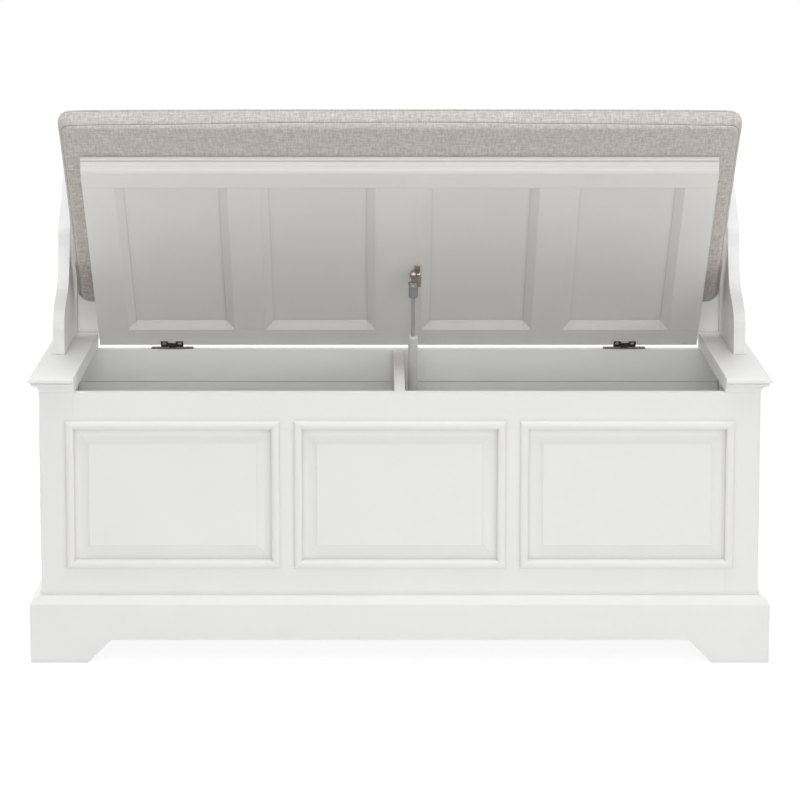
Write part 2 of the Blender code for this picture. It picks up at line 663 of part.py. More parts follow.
def open_point(point):
    return Matrix.Rotation(-OPEN_ANGLE, 4, "X") @ (point - HINGE_AXIS) + HINGE_AXIS


def ball_stud_into(maker, ball, sign, reach, collar):
    """A turned ball, neck and collar along X; the collar's outer face is at the given reach."""
    profile = arc((0.0, 0.0), BALL_RADIUS, 180, 38, 8)[1:]
    profile += [(reach - collar, STUD_RADIUS), (reach - collar, COLLAR_RADIUS), (reach, COLLAR_RADIUS)]
    sides = 16
    rings = []
    for x, radius in profile:
        rings.append([(ball.x + sign * x, ball.y + radius * math.cos(2 * math.pi * i / sides),
                       ball.z + radius * math.sin(2 * math.pi * i / sides)) for i in range(sides)])
    rings_into(maker, rings)


def make_socket(node, ball, direction, reach, opening, pivot):
    """A round moulded end with a cup bored in from one side for the ball."""
    maker = bmesh.new()
    tail = SOCKET_RADIUS * 0.9
    cylinder_into(maker, ball + direction * (reach - tail) / 2, direction, SOCKET_RADIUS, reach + tail, 20)
    socket = finish_mesh(node, maker, "socket_plastic", pivot)
    ease_edges(socket, 0.0012)
    floor = ball.x - opening * (BALL_RADIUS + SLIDE_FIT)
    mouth = ball.x + opening * (SOCKET_RADIUS + 0.003)
    maker = bmesh.new()
    cylinder_into(maker, ((floor + mouth) / 2, ball.y, ball.z), (1, 0, 0), BALL_RADIUS + SLIDE_FIT,
                  abs(mouth - floor), 16)
    cut(socket, finish_mesh(f"{node}_cup", maker, None, pivot), "cup")


def make_tube(point, tube_end, travel):
    """A tube closed at its foot, with a seal round the rod at its open end."""
    start = LOWER_SOCKET_REACH + GAP
    along = (point(1.0) - point(0.0)).normalized()

    def stick(node, low, high, radius, sides=20):
        maker = bmesh.new()
        cylinder_into(maker, point((low + high) / 2), along, radius, high - low, sides)
        return finish_mesh(node, maker, None, STRUT)

    maker = bmesh.new()
    cylinder_into(maker, point((start + tube_end) / 2), along, TUBE_RADIUS, tube_end - start, 24)
    tube = finish_mesh("strut_tube", maker, "tube_grey", STRUT)
    ease_edges(tube, 0.0006)
    bore_start = tube_end - PISTON_SET_IN - travel - 0.004
    cut(tube, stick("tube_bore", bore_start, tube_end - SEAL_THICK, TUBE_BORE_RADIUS), "bore")
    seal_start = tube_end - SEAL_THICK - 0.002
    cut(tube, stick("seal_bore", seal_start, tube_end + 0.01, ROD_RADIUS + SLIDE_FIT, 16), "seal_bore")


def make_strut():
    closed_ball = lid_point(STRUT_LID_REACH, STRUT_LID_DROP)
    ball = open_point(closed_ball)
    along = (ball - STRUT_FOOT).normalized()
    length = (ball - STRUT_FOOT).length
    travel = length - (closed_ball - STRUT_FOOT).length
    tube_end = length - SOCKET_REACH - ROD_SHOWN

    def point(distance):
        return STRUT_FOOT + along * distance

    make_tube(point, tube_end, travel)
    rod_low = tube_end - PISTON_SET_IN
    rod_high = length - SOCKET_REACH - GAP
    maker = bmesh.new()
    cylinder_into(maker, point((rod_low + rod_high) / 2), along, ROD_RADIUS, rod_high - rod_low, 16)
    rod = finish_mesh("strut_rod", maker, "rod_steel", STRUT_ROD)
    maker = bmesh.new()
    piston_middle = point(rod_low + PISTON_LENGTH / 2 - 0.0005)
    cylinder_into(maker, piston_middle, along, PISTON_RADIUS, PISTON_LENGTH, 16)
    join(rod, finish_mesh("rod_piston", maker, None, STRUT_ROD), "piston")
    make_socket("strut_lower_socket", STRUT_FOOT, along, LOWER_SOCKET_REACH, -1, STRUT)
    make_socket("strut_upper_socket", ball, -along, SOCKET_REACH, 1, STRUT_ROD)

    maker = bmesh.new()
    ball_stud_into(maker, ball, 1, EAR_INNER_X - GAP - STRUT_X, COLLAR_THICK)
    finish_mesh("strut_upper_ball_stud", maker, "stud_steel", STRUT_ROD)

    plate_x = DIVIDER_THICK / 2 + GAP
    half_y = DIVIDER_BRACKET_LENGTH / 2
    half_z = DIVIDER_BRACKET_HEIGHT / 2
    plate = board("strut_lower_bracket", (plate_x, STRUT_FOOT.y - half_y, STRUT_FOOT.z - half_z),
                  (plate_x + BRACKET_THICK, STRUT_FOOT.y + half_y, STRUT_FOOT.z + half_z), "stud_steel",
                  eased=False)
    maker = bmesh.new()
    sunk = BRACKET_THICK * 0.5
    ball_stud_into(maker, STRUT_FOOT, -1, STRUT_X - plate_x - sunk, sunk + 0.0012)
    join(plate, finish_mesh("lower_stud", maker, None), "stud")

    top = LID_UNDER - GAP
    far = closed_ball.y - BRACKET_PAST_BALL
    ear_x = EAR_INNER_X + BRACKET_THICK
    plate = board("strut_upper_bracket", (ear_x - BRACKET_WIDTH, far, top - BRACKET_THICK),
                  (ear_x, far + BRACKET_LENGTH, top), "stud_steel", LID, eased=False)
    maker = bmesh.new()
    box_into(maker, (EAR_INNER_X, far + 0.0001, closed_ball.z - COLLAR_RADIUS - 0.001),
             (ear_x - 0.0001, far + EAR_LENGTH, top - BRACKET_THICK / 2))
    join(plate, finish_mesh("upper_ear", maker, None, LID), "ear")


# Wings and backrest

def make_wings():
    """Two-step ogee from the foot to the backrest, as a flat outline with thickness."""
    foot = CAP_TOP + GAP
    rise = WING_TOP - CAP_TOP
    run = CAP_REAR - WING_FRONT

    def at(share_run, share_rise):
        return FRONT + WING_FRONT + share_run * run, CAP_TOP + share_rise * rise

    points = (
        ((at(0.0, 0.0)[0], foot), None, None),
        (at(0.0, 0.150), at(0.0, 0.10), at(0.0, 0.245)),
        (at(0.262, 0.320), at(0.155, 0.286), at(0.345, 0.352)),
        (at(0.440, 0.600), at(0.432, 0.480), at(0.445, 0.700)),
        (at(0.600, 0.762), at(0.515, 0.712), at(0.690, 0.815)),
        (at(0.960, 1.0), at(0.850, 0.945), at(0.975, 1.0)),
        (at(1.0, 1.0), None, None),
        ((at(1.0, 0.0)[0], foot), None, None),
    )
    for side, word in ((-1, "left"), (1, "right")):
        curve = bpy.data.curves.new(f"wing_{word}", "CURVE")
        curve.dimensions = "2D"
        curve.fill_mode = "BOTH"
        curve.extrude = WING_THICK / 2
        curve.resolution_u = 8
        spline = curve.splines.new("BEZIER")
        spline.bezier_points.add(len(points) - 1)
        spline.use_cyclic_u = True
        for knot, (place, before, after) in zip(spline.bezier_points, points):
            knot.co = (*place, 0.0)
            if before is None:
                knot.handle_left_type = "VECTOR"
                knot.handle_right_type = "VECTOR"
            else:
                knot.handle_left_type = "FREE"
                knot.handle_right_type = "FREE"
                knot.handle_left = (*before, 0.0)
                knot.handle_right = (*after, 0.0)
        made = bpy.data.objects.new(f"wing_{word}", curve)
        curve.materials.append(material_for(f"wing_{word}", "white_paint"))
        BENCH.objects.link(made)
        made.rotation_euler = (math.pi / 2, 0.0, math.pi / 2)
        made.location.x = side * (WING_INNER + WING_THICK / 2)


def make_backrest():
    reach = WING_INNER - GAP
    low = CAP_TOP + GAP
    high = WING_TOP + BACKREST_RISE
    frame = board("backrest_frame", (-reach, BACK_FACE, low), (reach, FRONT + CAP_REAR, high))
    place = framed_place(BACK_FACE, 1, "x")
    opening = (-reach + BACKREST_STILE, reach - BACKREST_STILE, low + BACKREST_RAIL, high - BACKREST_RAIL)
    maker = bmesh.new()
    box_into(maker, (opening[0], BACK_FACE - 0.05, opening[2]),
             (opening[1], FRONT + CAP_REAR + 0.05, opening[3]))
    cut(frame, finish_mesh("backrest_window", maker, None), "window")
    cut(frame, groove_cutter("backrest_grooves", place, [opening]), "panel_grooves")
    fielded_panel("backrest_panel", place, *opening)


# Cushion

def cushion_stations(half, cells):
    """Coordinates across the cushion: close together at the rounded corners, even between them."""
    r = CUSHION_CORNER
    inner = half - r
    middle = [-inner + 2 * inner * i / cells for i in range(cells + 1)]
    return [-half, -half + 0.35 * r] + middle + [half - 0.35 * r, half]


def cushion_plan(x, y, grow, half_x, half_y):
    """Moves a point of the plain rectangle onto rounded corners and drawn-in sides, grown outward."""
    u = x / half_x
    v = y / half_y
    r = CUSHION_CORNER
    inner = Vector((max(-half_x + r, min(half_x - r, x)), max(-half_y + r, min(half_y - r, y))))
    away = Vector((x, y)) - inner
    if away.length > r:
        away *= r / away.length
    edge = max(abs(u), abs(v)) ** 8
    if away.length > 1e-6:
        away += away.normalized() * grow * edge
    draw = CUSHION_DRAW_IN
    return (inner.x + away.x - math.copysign(draw * (1 - v * v) * abs(u) ** 3, u),
            inner.y + away.y - math.copysign(draw * (1 - u * u) * abs(v) ** 3, v))


def make_cushion():
    """A boxed pad: crowned top, sides drawn in between rounded corners, seams round the boxing's edges."""
    half_x = CUSHION_WIDTH / 2
    half_y = CUSHION_LENGTH / 2
    middle_y = BACK_FACE - CUSHION_BACK_GAP - half_y
    base = CAP_TOP + GAP
    xs = cushion_stations(half_x, 16)
    ys = cushion_stations(half_y, 7)
    maker = bmesh.new()

    def spot(x, y, grow, height):
        px, py = cushion_plan(x, y, grow, half_x, half_y)
        return maker.verts.new((px, middle_y + py, base + height))

    def crown(x, y):
        return CUSHION_CROWN * (1 - abs(x / half_x) ** 4) * (1 - abs(y / half_y) ** 4)

    low = [[spot(x, y, -0.0050, 0.0) for y in ys] for x in xs]
    high = [[spot(x, y, -0.0060, CUSHION_EDGE + crown(x, y)) for y in ys] for x in xs]
    for grid, flip in ((low, False), (high, True)):
        for i in range(len(xs) - 1):
            for j in range(len(ys) - 1):
                face = (grid[i][j], grid[i + 1][j], grid[i + 1][j + 1], grid[i][j + 1])
                maker.faces.new(face[::-1] if flip else face)
    rim = [(i, 0) for i in range(len(xs) - 1)]
    rim += [(len(xs) - 1, j) for j in range(len(ys) - 1)]
    rim += [(i, len(ys) - 1) for i in range(len(xs) - 1, 0, -1)]
    rim += [(0, j) for j in range(len(ys) - 1, 0, -1)]
    top = CUSHION_EDGE
    levels = [(-0.0024, 0.0026), (-0.0035, 0.0045), (-0.0012, 0.0070), (0.0015, top / 2),
              (-0.0008, top - 0.0070), (-0.0030, top - 0.0046), (-0.0026, top - 0.0028)]
    loops = [[low[i][j] for i, j in rim]]
    for grow, height in levels:
        loops.append([spot(xs[i], ys[j], grow, height) for i, j in rim])
    loops.append([high[i][j] for i, j in rim])
    for first, second in zip(loops, loops[1:]):
        for k in range(len(rim)):
            n = (k + 1) % len(rim)
            maker.faces.new((first[k], first[n], second[n], second[k]))
    made = finish_mesh("seat_cushion", maker, "linen", LID)
    made.location.y = -CUSHION_SLID


clear_scene()
BENCH = new_collection("shoe_storage_bench")
CUTTERS = new_collection("cutters")
LID = new_pivot("lid_pivot", HINGE_AXIS, -OPEN_ANGLE)
STRUT = new_pivot("strut_pivot", STRUT_FOOT)
STRUT_ROD = new_pivot("strut_rod_pivot", open_point(lid_point(STRUT_LID_REACH, STRUT_LID_DROP)), 0.0, STRUT)
make_plinth()
make_front()
make_sides()
make_inside()
make_caps()
make_lid()
make_hinges()
make_strut()
make_wings()
make_backrest()
make_cushion()
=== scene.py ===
"""Finishes the shoe storage bench: painted boards, bronze hinges, the gas strut, screws and a linen
cushion, standing on a pale studio floor. Run as a script in Blender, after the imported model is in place."""

import json
import math
import random

import bmesh
import bpy
import numpy as np
from bpy.props import FloatProperty, FloatVectorProperty, IntProperty, PointerProperty
from mathutils import Matrix, Vector


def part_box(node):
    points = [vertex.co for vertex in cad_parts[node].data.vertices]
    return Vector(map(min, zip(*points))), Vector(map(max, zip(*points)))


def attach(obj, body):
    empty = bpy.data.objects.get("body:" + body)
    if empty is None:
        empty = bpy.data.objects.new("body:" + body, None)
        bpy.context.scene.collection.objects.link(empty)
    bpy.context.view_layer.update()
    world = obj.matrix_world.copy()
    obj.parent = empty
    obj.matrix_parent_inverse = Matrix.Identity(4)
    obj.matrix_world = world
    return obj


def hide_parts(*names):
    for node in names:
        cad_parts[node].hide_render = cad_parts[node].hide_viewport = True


bl_info = {
    "name": "Shoe storage bench",
    "version": (1, 0, 0),
    "blender": (4, 5, 0),
    "location": "3D View > Sidebar > Bench",
    "description": "Paints, upholsters and lights a panelled storage bench",
    "category": "Object",
}

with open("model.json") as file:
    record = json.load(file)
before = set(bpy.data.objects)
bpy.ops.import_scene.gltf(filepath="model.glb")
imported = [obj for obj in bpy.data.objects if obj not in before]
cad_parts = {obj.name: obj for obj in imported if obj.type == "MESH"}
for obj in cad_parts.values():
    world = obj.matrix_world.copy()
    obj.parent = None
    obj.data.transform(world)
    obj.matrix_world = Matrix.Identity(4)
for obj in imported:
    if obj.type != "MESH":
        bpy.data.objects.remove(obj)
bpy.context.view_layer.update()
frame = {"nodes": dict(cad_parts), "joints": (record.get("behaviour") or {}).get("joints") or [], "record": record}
JOINTS = {joint["name"]: joint for joint in frame["joints"]}
HINGE = Vector(JOINTS["lid_hinge"]["pos_m"])
SLIDE_AXIS = Vector(JOINTS["cushion_slide"]["axis"])
LID_TILT = math.atan2(-SLIDE_AXIS.z, SLIDE_AXIS.y)


def to_closed(point):
    """A point of the raised lid, moved to where it lies with the lid down."""
    return Matrix.Rotation(LID_TILT, 4, "X") @ (Vector(point) - HINGE) + HINGE


def to_raised(point):
    """A point of the closed lid, moved to where it lies with the lid up."""
    return Matrix.Rotation(-LID_TILT, 4, "X") @ (Vector(point) - HINGE) + HINGE


def closed_box(node):
    """Lowest and highest corner of a node on the lid, as it lies with the lid down."""
    points = np.array([to_closed(v.co) for v in frame["nodes"][node].data.vertices])
    return Vector(points.min(axis=0)), Vector(points.max(axis=0))


# Settings

def colour_setting(name, description, default):
    return FloatVectorProperty(name=name, description=description, subtype="COLOR", default=default,
                               min=0.0, max=1.0)


def power_setting(name, place, default):
    return FloatProperty(name=name, description=f"Power of the soft box {place}", unit="POWER",
                         default=default)


class PaintSettings(bpy.types.PropertyGroup):
    colour: colour_setting("Paint", "Colour of the painted boards", (0.885, 0.885, 0.882))
    # Painted light: the lid's boards get a lighter, warmer copy of the paint, standing in for warm bounce light on
    # the lid's underside
    lid_bounce_colour: colour_setting("Lid bounce paint", "Colour of the lid's boards, lighter and warmer for painted bounce light", (0.895, 0.889, 0.868))
    roughness: FloatProperty(name="Roughness", description="Sheen of the paint, from gloss to matt",
                             default=0.42, min=0.0, max=1.0, subtype="FACTOR")
    stipple: FloatProperty(name="Stipple", description="Height of the roller's stipple",
                           default=0.00003, unit="LENGTH")
    # Painted shade: a darker, warm tone laid into the mouldings' corners through an occlusion mask
    corner_shade_colour: colour_setting("Corner shade colour", "Painted shade in the mouldings' corners",
                                  (0.62, 0.585, 0.54))
    corner_shade: FloatProperty(name="Corner shade", description="How much painted shade the corners take",
                           default=0.6, min=0.0, max=1.0, subtype="FACTOR")


class HardwareSettings(bpy.types.PropertyGroup):
    hinge_colour: colour_setting("Hinges", "Colour of the hinge leaves", (0.062, 0.047, 0.037))
    screw_colour: colour_setting("Screws", "Colour of the screw heads", (0.50, 0.43, 0.35))
    tube_colour: colour_setting("Strut tube", "Colour of the strut's tube", (0.83, 0.835, 0.84))
    socket_colour: colour_setting("Sockets", "Colour of the strut's moulded ends",
                                  (0.345, 0.355, 0.355))
    head_radius: FloatProperty(name="Screw head", description="Radius of the screw heads",
                               default=0.0033, unit="LENGTH")
    head_rise: FloatProperty(name="Head rise", description="Height of the screw heads",
                             default=0.0013, unit="LENGTH")
    seed: IntProperty(name="Seed", description="Turns the screw heads at random", default=4)


class CushionSettings(bpy.types.PropertyGroup):
    light_thread: colour_setting("Light thread", "Paler yarn of the linen", (0.765, 0.731, 0.704))
    dark_thread: colour_setting("Dark thread", "Darker yarn of the linen", (0.480, 0.430, 0.394))
    pressure: FloatProperty(name="Fill pressure", description="How hard the filling swells the cover",
                            default=4.0)
    most_swell: FloatProperty(name="Most swell", description="Farthest that the cover may swell",
                              default=0.005, unit="LENGTH")
    pucker: FloatProperty(name="Pucker", description="Depth of the puckers along the seams",
                          default=0.0007, unit="LENGTH")


class StudioSettings(bpy.types.PropertyGroup):
    ambient: FloatProperty(name="Ambient", description="Strength of the room's even light",
                           default=0.20)
    front: power_setting("Front", "behind the camera", 64.0)
    right: power_setting("Right", "on the right", 35.0)
    high: power_setting("High", "above the camera", 50.0)
    top: power_setting("Top", "above the bench", 50.0)
    back: power_setting("Back", "on each side behind the bench", 75.0)
    ends: power_setting("Ends", "at each end", 26.0)


# Materials

class Wire:
    """A number on its way through a material; operators on it add Math nodes."""

    def __init__(self, nodes, socket):
        self.nodes = nodes
        self.socket = socket

    def math(self, operation, *values):
        return self.nodes.node("ShaderNodeMath", {"operation": operation}, *values)

    def __add__(self, other):
        return self.math("ADD", self, other)

    def __radd__(self, other):
        return self.math("ADD", other, self)

    def __sub__(self, other):
        return self.math("SUBTRACT", self, other)

    def __rsub__(self, other):
        return self.math("SUBTRACT", other, self)

    def __mul__(self, other):
        return self.math("MULTIPLY", self, other)

    def __rmul__(self, other):
        return self.math("MULTIPLY", other, self)

    def sine(self):
        return self.math("SINE", self)

    def most(self, other):
        return self.math("MAXIMUM", self, other)

    def smooth(self, low, high):
        """0 below low, 1 above high, eased between."""
        eased = {"interpolation_type": "SMOOTHSTEP"}
        return self.nodes.node("ShaderNodeMapRange", eased, self, low, high)


class Nodes:
    """The node tree of a material or of the room, with one method that adds any node."""

    def __init__(self, tree):
        self.tree = tree

    def plug(self, socket, value):
        """Links a wire to a socket, or sets the socket's own value."""
        if isinstance(value, Wire):
            self.tree.links.new(value.socket, socket)
        elif socket.type == "RGBA":
            socket.default_value = (*value, 1.0)
        else:
            socket.default_value = value

    def node(self, kind, settings=None, *values, output=None, **named):
        """Adds a node: its settings, then the values or wires of its sockets in order or by name."""
        made = self.tree.nodes.new(kind)
        for name, value in (settings or {}).items():
            setattr(made, name, value)
        usable = [socket for socket in made.inputs if socket.enabled]
        for socket, value in zip(usable, values):
            self.plug(socket, value)
        for name, value in named.items():
            self.plug(next(socket for socket in usable if socket.name == name), value)
        return Wire(self, next(socket for socket in made.outputs
                               if socket.enabled and output in (None, socket.name)))

    def seen(self):
        """1 for rays that show the background, 0 for rays that light the bench."""
        camera, glossy, clear = (self.node("ShaderNodeLightPath", output=name)
                                 for name in ("Is Camera Ray", "Is Glossy Ray", "Is Transmission Ray"))
        return camera.most(glossy).most(clear)


class Finish(Nodes):
    """A new material on a Principled shader."""

    def __init__(self, name, colour, roughness, metallic=0.0):
        self.material = bpy.data.materials.new(name)
        self.material.use_nodes = True
        self.material.diffuse_color = (*colour, 1.0)
        super().__init__(self.material.node_tree)
        self.shader = self.tree.nodes["Principled BSDF"]
        self.feed("Base Color", colour)
        self.feed("Roughness", roughness)
        self.feed("Metallic", metallic)

    def feed(self, name, value):
        """Sets or wires a socket of the material's shader."""
        self.plug(self.shader.inputs[name], value)

    def place(self, scale=(1.0, 1.0, 1.0), turn=(0.0, 0.0, 0.0)):
        """Object coordinates, turned and scaled."""
        spot = self.node("ShaderNodeTexCoord", output="Object")
        turned = self.node("ShaderNodeMapping", {"vector_type": "POINT"}, spot, Rotation=turn)
        return self.node("ShaderNodeVectorMath", {"operation": "MULTIPLY"}, turned, scale)

    def noise(self, where, scale, detail=2.0, roughness=0.5):
        return self.node("ShaderNodeTexNoise", {"noise_dimensions": "3D"}, Vector=where,
                         Scale=scale, Detail=detail, Roughness=roughness)

    def blend(self, factor, first, second):
        """The first colour where the factor is 0, the second where it is 1."""
        return self.node("ShaderNodeMix", {"data_type": "RGBA"}, Factor=factor, A=first, B=second)

    def crevice(self, reach):
        """0 on open surfaces, up to 1 deep in the corners that lie within reach of another surface; an occlusion
        mask for painted shade.
        """
        return 1.0 - self.node("ShaderNodeAmbientOcclusion", {"samples": 4}, Distance=reach, output="AO")

    def bump(self, height, distance, strength=1.0):
        """Height 0 to 1 over a real depth in metres."""
        normal = self.node("ShaderNodeBump", None, Strength=strength, Distance=distance, Height=height)
        self.feed("Normal", normal)


def shade(colour, factor):
    """A colour made darker or lighter."""
    return tuple(min(1.0, c * factor) for c in colour)


CORNER_REACH = 0.0065
MOST_TURN = 0.4


def painted_board(name, settings, colour, seed):
    """Satin paint: faint roller stipple, a drift in colour and sheen, and painted shade in the corners."""
    rng = random.Random(seed)
    finish = Finish(name, colour, settings.roughness)
    where = finish.place(turn=tuple(rng.uniform(0, MOST_TURN) for _ in range(3)))
    drift = finish.noise(where, 2.6).smooth(0.32, 0.68)
    cloud = finish.noise(where, 14.0, 3.0).smooth(0.3, 0.7)
    flat = finish.blend(drift * 0.6 + cloud * 0.4, shade(colour, 0.984), shade(colour, 1.012))
    # Painted shade: the paint darkens toward the corner tone wherever other surfaces lie close
    corner_shade = finish.crevice(CORNER_REACH) * settings.corner_shade
    finish.feed("Base Color", finish.blend(corner_shade, flat, settings.corner_shade_colour))
    stipple = finish.noise(where, 520.0, roughness=0.6)
    finish.feed("Roughness", settings.roughness - 0.05 + cloud * 0.06 + stipple * 0.05)
    finish.feed("Specular IOR Level", 0.42)
    finish.bump(stipple * 0.7 + finish.noise(where, 130.0) * 0.3, settings.stipple)
    return finish.material


def dark_bronze(name, colour):
    """Oil-rubbed plating, browner and brighter where it is handled."""
    finish = Finish(name, colour, 0.38, 0.85)
    where = finish.place()
    worn = finish.noise(where, 160.0, 3.0).smooth(0.45, 0.72)
    handled = tuple(c * gain for c, gain in zip(colour, (1.7, 1.5, 1.3)))
    finish.feed("Base Color", finish.blend(worn, colour, handled))
    finish.feed("Roughness", 0.34 + finish.noise(where, 420.0) * 0.18)
    finish.bump(finish.noise(where, 900.0), 0.00004)
    return finish.material


def slope(along):
    """The angle of a direction in the bench's side view."""
    return math.atan2(along.z, along.y)


def strut_paint(name, colour, along):
    """Satin grey lacquer with a trace of drawing lines along the tube."""
    finish = Finish(name, colour, 0.36)
    where = finish.place(scale=(900.0, 30.0, 900.0), turn=(-slope(along), 0.0, 0.0))
    lines = finish.noise(where, 1.0)
    finish.feed("Base Color", finish.blend(lines, shade(colour, 0.94), shade(colour, 1.06)))
    finish.feed("Roughness", 0.30 + lines * 0.12)
    finish.feed("Coat Weight", 0.25)
    finish.feed("Coat Roughness", 0.2)
    finish.bump(lines, 0.00002)
    return finish.material


def ground_steel(name, colour, along, roughness, metallic=1.0):
    """Steel with fine rings from grinding, square to the strut."""
    finish = Finish(name, colour, roughness, metallic)
    where = finish.place(scale=(40.0, 2600.0, 40.0), turn=(-slope(along), 0.0, 0.0))
    rings = finish.noise(where, 1.0)
    finish.feed("Base Color", finish.blend(rings, shade(colour, 0.9), shade(colour, 1.1)))
    finish.feed("Roughness", roughness - 0.06 + rings * 0.14)
    finish.bump(rings, 0.00002)
    return finish.material


def moulded_plastic(name, colour):
    """Fine-grained plastic, slightly uneven in tone."""
    finish = Finish(name, colour, 0.46)
    where = finish.place()
    grain = finish.noise(where, 1400.0)
    tone = finish.noise(where, 70.0)
    finish.feed("Base Color", finish.blend(tone, shade(colour, 0.93), shade(colour, 1.08)))
    finish.feed("Roughness", 0.38 + grain * 0.14)
    finish.bump(grain, 0.00004)
    return finish.material


THREAD_PITCH = 0.00115
THREAD_DEPTH = 0.00022


def linen_cloth(name, settings):
    """Slubbed plain weave: two yarns that cross over and under, each with thick and thin stretches."""
    finish = Finish(name, settings.light_thread, 0.92)
    flat = finish.node("ShaderNodeUVMap", {"uv_map": "weave"})
    u = finish.node("ShaderNodeSeparateXYZ", None, flat, output="X")
    v = finish.node("ShaderNodeSeparateXYZ", None, flat, output="Y")
    warp = (u * (math.pi / THREAD_PITCH)).sine()
    weft = (v * (math.pi / THREAD_PITCH)).sine()
    over = warp * weft
    warp_round = 1.0 - warp * warp
    weft_round = 1.0 - weft * weft

    def streak(across, along, seed):
        """Noise drawn out along a yarn."""
        where = finish.node("ShaderNodeCombineXYZ", None, across, along, seed)
        return finish.noise(where, 1.0, 3.0, 0.6)

    warp_slub = streak(u * 560.0, v * 90.0, 3.0)
    weft_slub = streak(u * 90.0, v * 560.0, 11.0)
    broad = streak(u * 300.0, v * 42.0, 21.0) * 0.5 + streak(u * 42.0, v * 300.0, 31.0) * 0.5
    upper = over.smooth(-0.25, 0.25)
    tone = (warp_slub * upper + weft_slub * (1.0 - upper)) * 0.55 + broad * 0.45
    colour = finish.blend(tone.smooth(0.38, 0.64), settings.dark_thread, settings.light_thread)
    # Painted shade: the holes between the crossing yarns are darkened
    gap = (warp_round * weft_round).smooth(0.25, 0.95)
    colour = finish.blend(gap * 0.30, colour, shade(settings.dark_thread, 0.72))
    fleck = streak(u * 900.0, v * 150.0, 41.0).smooth(0.70, 0.78)
    colour = finish.blend(fleck * 0.5, colour, shade(settings.light_thread, 1.16))
    # Painted shade: the cloth is darkened along the sewn seams, where their grooves lie in shade
    sewn = finish.node("ShaderNodeAttribute", {"attribute_name": "seam_shade_mask"}, output="Fac")
    fold = sewn.smooth(0.30, 0.85) * 0.75
    finish.feed("Base Color", finish.blend(fold, colour, shade(settings.dark_thread, 0.45)))
    finish.feed("Roughness", 0.88 + tone * 0.1)
    finish.feed("Specular IOR Level", 0.22)
    finish.feed("Sheen Weight", 0.25)
    finish.feed("Sheen Roughness", 0.5)
    thread = (1.0 - warp_round * 0.5 - weft_round * 0.5) * 0.6 + tone * 0.4
    finish.bump(thread, THREAD_DEPTH, 0.8)
    return finish.material


# Shapes

def coat(mesh, material, smooth=True):
    """Gives a mesh one material, and its faces their shading."""
    mesh.materials.clear()
    mesh.materials.append(material)
    mesh.polygons.foreach_set("use_smooth", [smooth] * len(mesh.polygons))


def stand(name, data):
    """A new object in the scene, for a mesh, a lamp or a camera."""
    made = bpy.data.objects.new(name, data)
    bpy.context.scene.collection.objects.link(made)
    return made


def new_piece(name, maker, material, smooth=True):
    """A new object with the faces that were drawn in a BMesh."""
    mesh = bpy.data.meshes.new(name)
    maker.to_mesh(mesh)
    maker.free()
    coat(mesh, material, smooth)
    return stand(name, mesh)


def freeze(made):
    """Applies what an object's modifiers make and takes them off."""
    graph = bpy.context.evaluated_depsgraph_get()
    mesh = bpy.data.meshes.new_from_object(made.evaluated_get(graph), depsgraph=graph)
    made.modifiers.clear()
    made.data = mesh


def join_rings(maker, rings):
    """Closes the gaps between rings of points, where a ring of one point is a tip."""
    for first, second in zip(rings, rings[1:]):
        count = max(len(first), len(second))
        for i in range(count):
            j = (i + 1) % count
            corners = (first[i % len(first)], first[j % len(first)],
                       second[j % len(second)], second[i % len(second)])
            maker.faces.new(list(dict.fromkeys(corners)))


# Cushion

